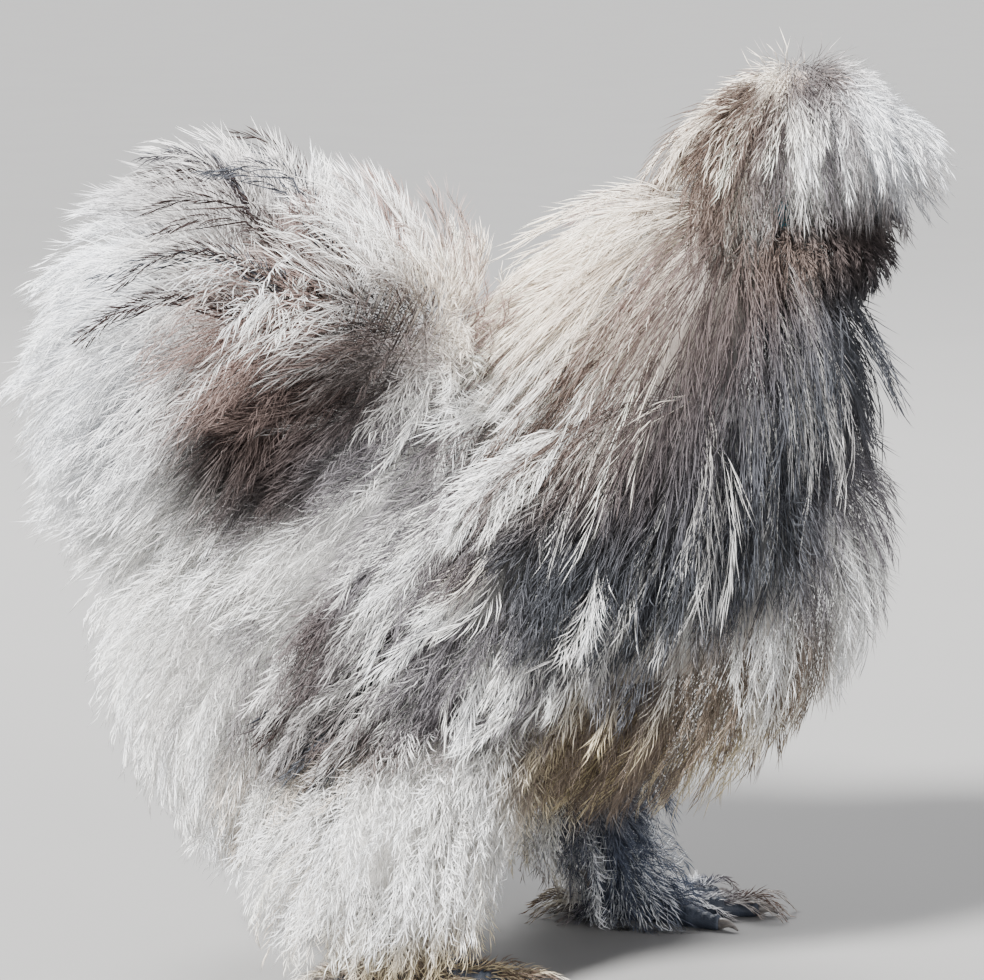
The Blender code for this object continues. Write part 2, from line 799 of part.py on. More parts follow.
def build_legs(bird):
    for side, word in SIDE_NAMES.items():
        hock, ankle = Vector(HOCKS[side]), Vector(ANKLES[side])
        thigh = placed_loft(THIGH_RINGS[side], side, along=7, sides=14)
        bird.add_loft("thigh_" + word, thigh, "#DEDAD6", ("torso", "wing_" + word, "abdomen"))
        lean = math.degrees(math.atan2(hock.z - ankle.z, hock.x - ankle.x))
        shank_rings = []
        for share, swell in ((0, 1.15), (0.12, 1.0), (0.5, 0.92), (0.85, 1.05), (1, 1.2)):
            radius = SHANK_RADIUS * swell
            place = ankle.lerp(hock, share)
            shank_rings.append((*place, radius, radius, lean))
        shank = placed_loft(shank_rings, side, along=5, sides=10)
        bird.add_loft("shank_" + word, shank, "#4F5560", ("thigh_" + word,), roughness=0.6)
        build_foot(bird, side, word, Vector((ankle.x, side * ankle.y, 0)) * MM, shank)


def toe_rings(length, rise):
    """A toe along +X with a swelling at each of its joints."""
    rings = []
    for share, swell in TOE_SWELLS:
        radius = TOE_RADIUS * swell
        height = radius * 0.8 + rise * share**1.5 + (3 if rise else 0)
        pitch = math.degrees(math.atan2(1.5 * rise * share**0.5, length))
        rings.append((length * share, 0, height, radius, radius, pitch))
    return rings


def build_foot(bird, side, word, place, shank):
    pieces = []
    for name, heading, length, rise in TOES:
        turn = Matrix.Translation(place) @ Matrix.Rotation(math.radians(side * heading), 4, "Z")
        rings = toe_rings(length, rise)
        toe = Loft(rings, along=6, sides=6)
        toe.pole_share = 0.0
        piece = toe.build("toe")
        piece.data.transform(turn)
        pieces.append(piece)
        x, _, z, radius, _, pitch = rings[-1]
        lean = math.radians(pitch)
        claw_rings = []
        for share in (0, 0.4, 0.75, 1):
            thick = radius * (0.86 - 0.74 * share)
            reach = GAP / MM + CLAW_LENGTH * share
            drop = 0 if rise else (z - 0.95) * share**1.4
            claw_rings.append((
                x + reach * math.cos(lean),
                0,
                z + reach * math.sin(lean) + 1.2 * math.sin(math.pi * share) - drop,
                0.8 * thick,
                thick if share else 0.9 * thick,
                pitch + 12 - 45 * share,
            ))
        claw_rings[0] = (*claw_rings[0][:5], pitch)
        claw = Loft(claw_rings, along=3, sides=6)
        claw.pole_share = 0.0
        nail = claw.build("claw")
        nail.data.transform(turn)
        bird.add(f"claw_{name}_{word}", nail, "#77726E", 0.4)
    sole = ball("sole", (place.x / MM, place.y / MM, 6), (SOLE_RADIUS, SOLE_RADIUS, 9), 7, 10)
    foot = fuse(sole, pieces)
    floor = bmesh.new()
    bmesh.ops.create_cube(floor, size=1.0)
    floor.transform(Matrix.Translation((place.x, place.y, -0.05)) @ Matrix.Diagonal((0.4, 0.4, 0.1, 1)))
    carve(foot, new_object("floor", floor))
    carve(foot, shank.grown(GAP).build("cutter"))
    bird.add("foot_" + word, foot, "#525862", 0.6)


def coat_foot(bird, side, word):
    """Feathers that spread over the outer and middle toes."""
    ankle = Vector(ANKLES[side])
    locks = []
    for name, heading, length, _ in TOES:
        for share, swing in FOOT_FEATHERS.get(name, ()):
            bearing = math.radians(side * (heading + swing))
            ahead = Vector((math.cos(bearing), math.sin(bearing), 0))
            toe = Matrix.Rotation(math.radians(side * heading), 3, "Z") @ Vector((length * share, 0, 0))
            root = Vector((ankle.x, side * ankle.y, 3)) + toe
            steps = (ahead * (FOOT_FEATHER * far) + Vector((0, 0, rise)) for far, rise in FOOT_ARCH)
            path = [(root + step) * MM for step in steps]
            across = Vector((0, 0, 1)).cross(ahead)
            locks.append(tapered(path, across, [8 * MM, 11 * MM], [2 * MM, 1.6 * MM]))
    bird.fuse_on("foot_" + word, locks)


def centre_on_floor(objects):
    """Moves all so that the bottom centre of the whole is at the origin."""
    corners = [v.co for obj in objects for v in obj.data.vertices]
    low = [min(c[k] for c in corners) for k in range(3)]
    high = [max(c[k] for c in corners) for k in range(3)]
    shift = Vector((-(low[0] + high[0]) / 2, -(low[1] + high[1]) / 2, -low[2]))
    for obj in objects:
        obj.data.transform(Matrix.Translation(shift))


def build_coats(bird):
    bird.coat("crest", CREST_COAT)
    bird.coat("beard", BEARD_COAT)
    bird.coat("neck", HACKLE_COAT)
    for side, word in SIDE_NAMES.items():
        bird.coat("wing_" + word, {**on_side(WING_COAT, side), "bare_side": -side})
    bird.coat("cushion", CUSHION_COAT)
    bird.coat("tail", TAIL_COAT)
    for side, word in SIDE_NAMES.items():
        coat_foot(bird, side, word)
        bird.coat("shank_" + word, on_side(SHANK_COAT, side))
        bird.coat("thigh_" + word, on_side(THIGH_COAT, side))
    bird.coat("abdomen", ABDOMEN_COAT)
    bird.coat("torso", TORSO_COAT)


def on_side(sizes, side):
    x, y, z = sizes["source"]
    return {**sizes, "source": (x, side * y, z)}


def main():
    for obj in list(bpy.data.objects):
        bpy.data.objects.remove(obj, do_unlink=True)
    bird = Bird()
    build_head(bird)
    build_comb(bird)
    build_trunk(bird)
    build_wings(bird)
    build_legs(bird)
    build_coats(bird)
    centre_on_floor(list(bird.nodes.values()))


main()
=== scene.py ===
"""The looks of a silkie cock: one skin, a face, feet, and a coat of loose-barbed feathers in joined meshes.

Places and sizes are in millimetres in the bird's own frame, beak towards +X and its right side at -Y, and
`home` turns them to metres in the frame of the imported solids. Each feather is a fine shaft with soft barbs
along it. It springs from the skin, leaves it at its own angle, and follows the lie of its part of the coat.
"""

import logging
import math
from dataclasses import dataclass, field, replace
from enum import Enum
from typing import Iterable, Sequence

import bmesh
import bpy
import numpy as np
from bmesh.types import BMesh, BMVert
from bpy.types import ID, Material, Mesh, Node, NodeSocket, NodeTree, Object
from mathutils import Matrix, Vector
from mathutils.bvhtree import BVHTree


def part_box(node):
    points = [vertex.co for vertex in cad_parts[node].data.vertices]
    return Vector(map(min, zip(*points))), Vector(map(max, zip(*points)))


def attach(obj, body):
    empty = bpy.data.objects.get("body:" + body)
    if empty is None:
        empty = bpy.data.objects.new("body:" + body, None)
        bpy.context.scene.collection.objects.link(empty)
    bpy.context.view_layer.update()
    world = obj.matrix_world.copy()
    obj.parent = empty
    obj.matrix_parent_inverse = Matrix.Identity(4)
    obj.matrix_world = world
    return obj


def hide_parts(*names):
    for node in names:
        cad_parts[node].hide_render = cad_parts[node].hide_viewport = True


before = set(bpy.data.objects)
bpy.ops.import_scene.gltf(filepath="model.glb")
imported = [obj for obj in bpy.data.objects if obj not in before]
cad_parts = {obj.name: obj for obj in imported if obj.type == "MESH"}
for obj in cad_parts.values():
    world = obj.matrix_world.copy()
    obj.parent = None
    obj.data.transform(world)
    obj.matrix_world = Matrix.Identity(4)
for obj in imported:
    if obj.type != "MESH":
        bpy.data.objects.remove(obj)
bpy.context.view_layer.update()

LOG = logging.getLogger("silkie")
MM = 0.001
# The width of a feather's patch on the unwrap of the skin, whose side is 1.
PATCH = 0.003
# Feathers stay this far above the floor, in millimetres.
FLOOR_GAP = 0.4
# How deep inside a neighbour's flesh a feather may start, and how far its root may be from there, in millimetres.
BURIED = 2.0
ROOT_SEARCH = 70.0
LONGEST_ROOT = 45.0
# Clean feathers reflect no more of the light than this.
BRIGHTEST = 0.94
# Vertices closer than this are one, in the mesh's own unit.
WELD = 1e-5
# The depth of the relief on skin and horn, in metres.
RELIEF = 0.3 * MM

Array = np.ndarray
Place = tuple[float, float, float]
Ring = tuple[float, float, float, float, float, float]
Curve = tuple[Place, Place, Place]
Span = tuple[float, float]


class Side(Enum):
    """The two sides of the bird, with the sign of Y."""

    RIGHT = -1
    LEFT = 1

    @property
    def word(self) -> str:
        """The side's name in lower case."""
        return self.name.lower()


EYE_CENTRE: Place = (137.0, 11.4, 313.0)
EYE_RADIUS = 5.3


def eye_place(side: Side) -> Place:
    """The middle of that side's eyeball."""
    x, y, z = EYE_CENTRE
    return (x, side.value * y, z)


def eye_gaze(side: Side) -> Vector:
    """The direction that the eye faces."""
    return Vector((0.16, side.value, 0.05)).normalized()


def measured_shift() -> Array:
    """The way from the bird's own frame to the solids', in millimetres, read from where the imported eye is."""
    low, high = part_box("eye_left")
    return np.array((low + high) / 2) / MM - np.array(EYE_CENTRE)


SHIFT = measured_shift()


def home(points: Array) -> Array:
    """Places in the bird's frame, in millimetres, as metres in the frame of the solids."""
    return (np.asarray(points, float) + SHIFT) * MM


def own_frame(points: Array) -> Array:
    """Places in the frame of the solids, in metres, as millimetres in the bird's frame."""
    return np.asarray(points, float) / MM - SHIFT


def folded(places: Array) -> Array:
    """The places with y as the distance from the bird's middle plane."""
    return places * (1, 0, 1) + np.abs(places) * (0, 1, 0)


def unit(vectors: Array) -> Array:
    """The same directions, one long."""
    return vectors / np.maximum(np.linalg.norm(vectors, axis=-1, keepdims=True), 1e-9)


def add_object(name: str, data: ID) -> Object:
    """Puts a mesh, lamp or camera into the scene as an object at the origin."""
    obj = bpy.data.objects.new(name, data)
    bpy.context.scene.collection.objects.link(obj)
    return obj


def mesh_from(name: str, bm: BMesh) -> Mesh:
    """Makes a bmesh a mesh of that name, and frees it.

    Args:
        name: The mesh's name.
        bm: The shape.

    Returns:
        The mesh.
    """
    mesh = bpy.data.meshes.new(name)
    bm.to_mesh(mesh)
    bm.free()
    return mesh


def search_tree(bm: BMesh) -> BVHTree:
    """Makes a bmesh a search tree, and frees it."""
    tree = BVHTree.FromBMesh(bm)
    bm.free()
    return tree


def vertex_places(mesh: Mesh) -> Array:
    """Where a mesh's vertices are, one in each row."""
    places = np.zeros(len(mesh.vertices) * 3, np.float32)
    mesh.vertices.foreach_get("co", places)
    return places.reshape(-1, 3)


def lay_colours(mesh: Mesh, name: str, colours: Array) -> None:
    """Gives each vertex its colour, under that name."""
    layer = mesh.attributes.new(name, "FLOAT_COLOR", "POINT")
    layer.data.foreach_set("color", np.c_[colours, np.ones(len(colours))].astype(np.float32).ravel())


def spin_closed(bm: BMesh, steps: int) -> None:
    """Spins all of a bmesh once round +Z, with its normals out."""
    bmesh.ops.spin(bm, geom=bm.verts[:] + bm.edges[:], axis=(0, 0, 1), cent=(0, 0, 0), steps=steps,
                   angle=2 * math.pi, use_merge=True, use_duplicate=False)
    bmesh.ops.remove_doubles(bm, verts=bm.verts, dist=WELD)
    bmesh.ops.recalc_face_normals(bm, faces=bm.faces)


def turn_to(direction: Vector) -> Matrix:
    """The turn from +Z to a direction."""
    return Vector((0, 0, 1)).rotation_difference(direction).to_matrix().to_4x4()


def look(obj: Object, place: Sequence[float], aim: Sequence[float]) -> None:
    """Stands a lamp or camera at a place and points it at another."""
    obj.location = place
    obj.rotation_euler = (Vector(aim) - Vector(place)).to_track_quat("-Z", "Y").to_euler()


def seat(piece: Object, finish: Material, nodes: Iterable[str]) -> None:
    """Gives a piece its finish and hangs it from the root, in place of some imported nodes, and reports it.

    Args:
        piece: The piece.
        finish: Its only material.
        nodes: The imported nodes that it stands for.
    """
    piece.data.materials.clear()
    piece.data.materials.append(finish)
    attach(piece, "root")
    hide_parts(*nodes)
    LOG.info("%s: %d faces", piece.name, len(piece.data.polygons))


def linear(hex_colour: str) -> tuple[float, float, float]:
    """An sRGB colour, six hex digits after a hash, as linear red, green and blue from 0 to 1."""
    channels = (int(hex_colour[i : i + 2], 16) / 255 for i in (1, 3, 5))
    return tuple(c / 12.92 if c <= 0.04045 else ((c + 0.055) / 1.055) ** 2.4 for c in channels)


def smooth_between(before: Array, start: Array, end: Array, after: Array, share: Array) -> Array:
    """The Catmull-Rom curve from start to end at a share of the way, given the values before and after them."""
    return 0.5 * (
        2 * start
        + (end - before) * share
        + (2 * before - 5 * start + 4 * end - after) * share**2
        + (3 * start - before - 3 * end + after) * share**3
    )


def smooth_share(share: Array) -> Array:
    """The share eased at both ends."""
    return share * share * (3 - 2 * share)


@dataclass(frozen=True)
class OvalLoft:
    """A closed body of oval rings along a bent axis that stays in a plane of constant y.

    Attributes:
        rings: For each, its centre, half-width, half-depth, and the pitch of the axis in degrees.
        pole_share: How far the poles stand off the end rings, as a share of their smaller half size.
        thinnest: No half size is less than this.
    """

    rings: tuple[Ring, ...]
    pole_share: float = 0.45
    thinnest: float = 0.4

    def shrunk(self, wide: float, deep: float) -> "OvalLoft":
        """The same loft with its ovals drawn in."""
        rings = tuple((x, y, z, a * wide, b * deep, p) for x, y, z, a, b, p in self.rings)
        return replace(self, rings=rings)

    def on(self, side: Side) -> "OvalLoft":
        """The loft on that side; the tables give the left one."""
        rings = tuple((x, side.value * y, z, a, b, p) for x, y, z, a, b, p in self.rings)
        return replace(self, rings=rings)

    def section(self, t: Array) -> tuple[Array, Array, Array, Array]:
        """The oval at each t from 0 to 1.

        Args:
            t: Places along the loft.

        Returns:
            Centres, half-widths, half-depths and pitches in radians.
        """
        table = np.array(self.rings, float)
        last = len(table) - 1
        place = np.clip(t, 0, 1) * last
        i = np.minimum(place.astype(int), last - 1)
        picked = [table[np.clip(i + k, 0, last)] for k in (-1, 0, 1, 2)]
        values = smooth_between(*picked, (place - i)[:, None])
        wide, deep = (np.maximum(values[:, k], self.thinnest) for k in (3, 4))
        return values[:, :3], wide, deep, np.radians(values[:, 5])

    def points(self, t: Array, angle: Array) -> Array:
        """Points on the skin; angle 0 is the +Y side and a quarter turn is the top of a level loft.

        Args:
            t: Places along the loft.
            angle: Angles round it.

        Returns:
            One point for each.
        """
        centre, wide, deep, pitch = self.section(t)
        up = np.stack((-np.sin(pitch), 0 * pitch, np.cos(pitch)), -1)
        across = np.stack((0 * pitch, wide * np.cos(angle), 0 * pitch), -1)
        return centre + across + up * (deep * np.sin(angle))[:, None]

    def normals(self, t: Array, angle: Array, step: float = 0.01) -> Array:
        """The outward directions of the skin there.

        Args:
            t: Places along the loft.
            angle: Angles round it.
            step: How far apart the neighbours are.

        Returns:
            One direction for each.
        """
        round_it = self.points(t, angle + step) - self.points(t, angle - step)
        along_it = self.points(np.minimum(t + step, 1), angle) - self.points(np.maximum(t - step, 0), angle)
        out = unit(np.cross(round_it, along_it))
        outward = np.sum(out * (self.points(t, angle) - self.section(t)[0]), -1)
        return out * np.where(outward >= 0, 1, -1)[:, None]

    def lay(self, bm: BMesh, rows: int, sides: int) -> list[BMVert]:
        """Adds the loft to a bmesh: a grid rolled up round the axis and welded along its seam and poles.

        Args:
            bm: The mesh that gets it, in millimetres.
            rows: Faces along the loft.
            sides: Faces round it.

        Returns:
            The loft's vertices.
        """
        verts = bmesh.ops.create_grid(bm, x_segments=sides, y_segments=rows + 2, size=0.5)["verts"]
        flat = np.array([v.co for v in verts])
        row = np.rint((flat[:, 1] + 0.5) * (rows + 2)).astype(int)
        angle = (flat[:, 0] + 0.5) * 2 * np.pi
        t = np.clip((row - 1) / rows, 0, 1)
        spots = self.points(t, angle)
        centre, wide, deep, pitch = self.section(t)
        ahead = np.stack((np.cos(pitch), 0 * pitch, np.sin(pitch)), -1)
        for end, way in ((0, -1), (rows + 2, 1)):
            at_end = row == end
            reach = (self.pole_share * np.minimum(wide, deep) * way)[:, None]
            spots[at_end] = (centre + ahead * reach)[at_end]
        for vert, spot in zip(verts, spots):
            vert.co = spot
        bmesh.ops.remove_doubles(bm, verts=verts, dist=1e-4)
        return [v for v in verts if v.is_valid]


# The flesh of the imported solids, which the coat springs through; they stand about half way to its tips.
SKULL = OvalLoft((
    (105, 0, 309, 8, 9, 0), (110, 0, 310, 14, 15, 0), (118, 0, 311, 17.5, 19, 0), (130, 0, 311, 18, 19.5, -4),
    (142, 0, 308, 14, 15.5, -10), (149.5, 0, 305, 9.5, 11, -14), (152.5, 0, 304, 7.6, 8.8, -14),
))
UPPER_BEAK = OvalLoft((
    (148, 0, 307.4, 7.2, 5.8, -10), (150, 0, 307.0, 7.0, 5.6, -12), (156.5, 0, 305.8, 5.6, 4.6, -18),
    (162, 0, 303.4, 3.7, 3.5, -32), (166, 0, 300.0, 2.0, 2.2, -50), (168, 0, 297.0, 0.8, 0.9, -62),
))
LOWER_BEAK = OvalLoft((
    (148, 0, 299.2, 6.2, 2.9, -8), (150, 0, 299.2, 6.0, 2.9, -8), (155.5, 0, 299.3, 4.9, 2.9, -8),
    (161, 0, 298.9, 3.2, 2.0, -12), (164, 0, 298.0, 1.6, 1.0, -20),
))
CREST = OvalLoft((
    (97, 0, 328, 8, 7, 0), (102, 0, 331, 18, 15, 0), (113, 0, 336, 25, 20, 0), (128, 0, 339, 27, 21, 0),
    (141, 0, 338, 24, 18, 0), (150, 0, 336, 15, 11, 0), (154, 0, 335, 7, 5, 0),
    (155.5, 0, 334.8, 2, 1.5, 0),
))
BEARD = OvalLoft((
    (108, 0, 290, 11, 8, 0), (115, 0, 288, 25, 13, 0), (130, 0, 286, 30, 16, 0), (143, 0, 286, 24, 13, 0),
    (152, 0, 288, 11, 6, 0), (154.5, 0, 288.4, 3, 2, 0),
))
NECK = OvalLoft((
    (56, 0, 203, 56, 60, 60), (73, 0, 234, 56, 60, 62), (88, 0, 262, 46, 50, 64), (100, 0, 284, 34, 38, 66),
    (109, 0, 300, 23, 27, 68),
))
TORSO = OvalLoft((
    (-106, 0, 172, 14, 16, 0), (-93, 0, 174, 42, 40, 0), (-60, 0, 176, 62, 58, 3), (-15, 0, 172, 72, 68, 5),
    (35, 0, 170, 75, 74, 6), (80, 0, 174, 70, 72, 10), (115, 0, 184, 54, 58, 14), (137, 0, 192, 31, 36, 18),
    (146, 0, 195, 11, 14, 18), (149, 0, 196, 3, 4, 18),
))
ABDOMEN = OvalLoft((
    (-124, 0, 132.5, 6, 7, 0), (-120, 0, 132, 20, 22, 0), (-110, 0, 130, 40, 42, 0), (-88, 0, 124, 52, 52, 0),
    (-58, 0, 122, 52, 44, 0), (-32, 0, 130, 34, 28, 0), (-22, 0, 134, 12, 10, 0),
))
CUSHION = OvalLoft((
    (-78, 0, 242, 24, 18, 10), (-64, 0, 246, 44, 29, 10), (-42, 0, 247, 52, 33, 5), (-20, 0, 243, 42, 27, -5),
    (-6, 0, 238, 20, 12, -15),
))
TAIL = OvalLoft((
    (-142, 0, 243, 4, 4, 0), (-139, 0, 243, 14, 14, 0), (-130, 0, 243, 33, 34, 0), (-108, 0, 243, 45, 48, 0),
    (-84, 0, 242, 44, 46, 0), (-64, 0, 240, 32, 32, 0), (-56, 0, 238, 12, 12, 0),
))
THIGHS = {
    Side.RIGHT: OvalLoft((
        (14, 44, 150, 20, 22, -118), (8, 46, 138, 30, 34, -118), (-10, 51, 112, 31, 33, -123),
        (-28, 56, 86, 29, 30, -118), (-39, 59, 62, 27, 28, -106), (-43, 59, 42, 17, 18, -98),
    )).on(Side.RIGHT),
    Side.LEFT: OvalLoft((
        (36, 44, 152, 20, 22, -88), (36, 46, 136, 29, 33, -88), (36, 49, 112, 28, 31, -88),
        (38, 52, 88, 25, 27, -82), (42, 54, 66, 21, 23, -76), (46, 54, 50, 13, 14, -72),
    )),
}
WING = OvalLoft((
    (96, 60, 226, 7, 11, -145), (80, 73, 215, 12, 27, -145), (45, 80, 192, 14, 37, -145),
    (5, 81, 166, 14, 36, -145), (-32, 79, 142, 10, 27, -145), (-56, 75, 127, 5, 14, -145),
))

# The bare body under the coat, where the flesh above doesn't give it.
BARE_NECK = OvalLoft((
    (58, 0, 196, 36, 40, 60), (72, 0, 230, 27, 31, 62), (87, 0, 260, 21, 24, 64), (99, 0, 283, 16, 18.5, 64),
    (114, 0, 304, 12.5, 13.5, 50),
))
NAPE = OvalLoft((
    (87, 0, 260, 12, 13, 62), (99, 0, 283, 16, 18.5, 64), (114, 0, 304, 12.5, 13.5, 50),
))
BARE_RUMP = OvalLoft((
    (-134, 0, 262, 7, 7, -30), (-114, 0, 252, 15, 14, -32), (-90, 0, 237, 24, 22, -36), (-66, 0, 217, 36, 32, -38),
    (-42, 0, 198, 42, 36, -34),
))
BARE_WING = OvalLoft((
    (88, 50, 222, 8, 12, -145), (76, 60, 213, 10, 18, -145), (45, 64, 192, 10, 20, -145),
    (5, 64, 166, 9, 18, -145), (-32, 60, 142, 7, 12, -145), (-52, 56, 127, 4, 7, -145),
))
HOCKS = {Side.RIGHT: (-44.0, -58.0, 52.0), Side.LEFT: (44.0, 54.0, 58.0)}
ANKLES = {Side.RIGHT: (-30.0, -55.0, 8.0), Side.LEFT: (66.0, 51.0, 8.0)}
SHANK_RADIUS = 6.5
SHANK_SWELLS = ((0.0, 1.2), (0.12, 1.0), (0.5, 0.92), (0.85, 1.05), (1.0, 1.15))


def shank_loft(side: Side, radius: float) -> OvalLoft:
    """The lower leg from ankle to hock.

    Args:
        side: Which leg.
        radius: Its mean radius.

    Returns:
        The loft.
    """
    ankle, hock = np.array(ANKLES[side]), np.array(HOCKS[side])
    lean = math.degrees(math.atan2(hock[2] - ankle[2], hock[0] - ankle[0]))
    rings = tuple(
        (*(ankle + (hock - ankle) * share), radius * swell, radius * swell, lean) for share, swell in SHANK_SWELLS
    )
    return OvalLoft(rings)


class Hue(str, Enum):
    """Colours of the plumage and the skin, in sRGB, as they look in even light; the blue grey alone is painted shade.
    """

    WHITE = "#F8F6F2"
    COOL_WHITE = "#F2F4F8"
    CREAM = "#F2E6D6"
    STRAW = "#CDBB94"
    PEARL = "#B0ACAA"
    ASH = "#6C686B"
    TAUPE = "#66564D"
    ROSE_TAUPE = "#957F77"
    MAUVE = "#4E4443"
    UMBER = "#332A28"
    SLATE = "#43454A"
    # Painted shade: a cool grey that stands for feathers in shade, not a feather colour.
    SHADE_BLUE_GREY = "#535B6B"
    BELLY = "#7C6E60"
    RUST = "#583F2A"
    FACE = "#1E1B22"
    COMB = "#3A1B27"
    LOBE = "#2F7482"
    SHANK = "#343A45"


@dataclass(frozen=True)
class Mark:
    """A soft patch of the coat's pattern; some patches are painted shade.

    Attributes:
        place: Its middle, with y as the distance from the bird's middle plane.
        reach: How far it carries along x, y and z.
        light: The colour of the feathers that stay light there.
        dark: The colour of the others.
        share: The share of feathers that are dark.
        weight: How firmly it overrules its neighbours.
    """

    place: Place
    reach: Place
    light: str
    dark: str
    share: float
    weight: float = 1.0


@dataclass(frozen=True)
class Markings:
    """The splash pattern over skin and coat, and any painted shade in it, as soft patches that blend by distance."""

    marks: tuple[Mark, ...]
    ground: Mark

    def at(self, places: Array) -> tuple[Array, Array, Array]:
        """The pattern at some places.

        Args:
            places: Places in the bird's frame.

        Returns:
            The light colours, the dark colours, and the share of dark feathers.
        """
        total = np.full(len(places), self.ground.weight)
        light = np.outer(total, linear(self.ground.light))
        dark = np.outer(total, linear(self.ground.dark))
        share = total * self.ground.share
        spots = folded(places)
        for mark in self.marks:
            off = np.sum(((spots - mark.place) / mark.reach) ** 2, -1)
            weight = mark.weight * np.exp(-(off**1.4))
            total = total + weight
            light += np.outer(weight, linear(mark.light))
            dark += np.outer(weight, linear(mark.dark))
            share += weight * mark.share
        return light / total[:, None], dark / total[:, None], share / total


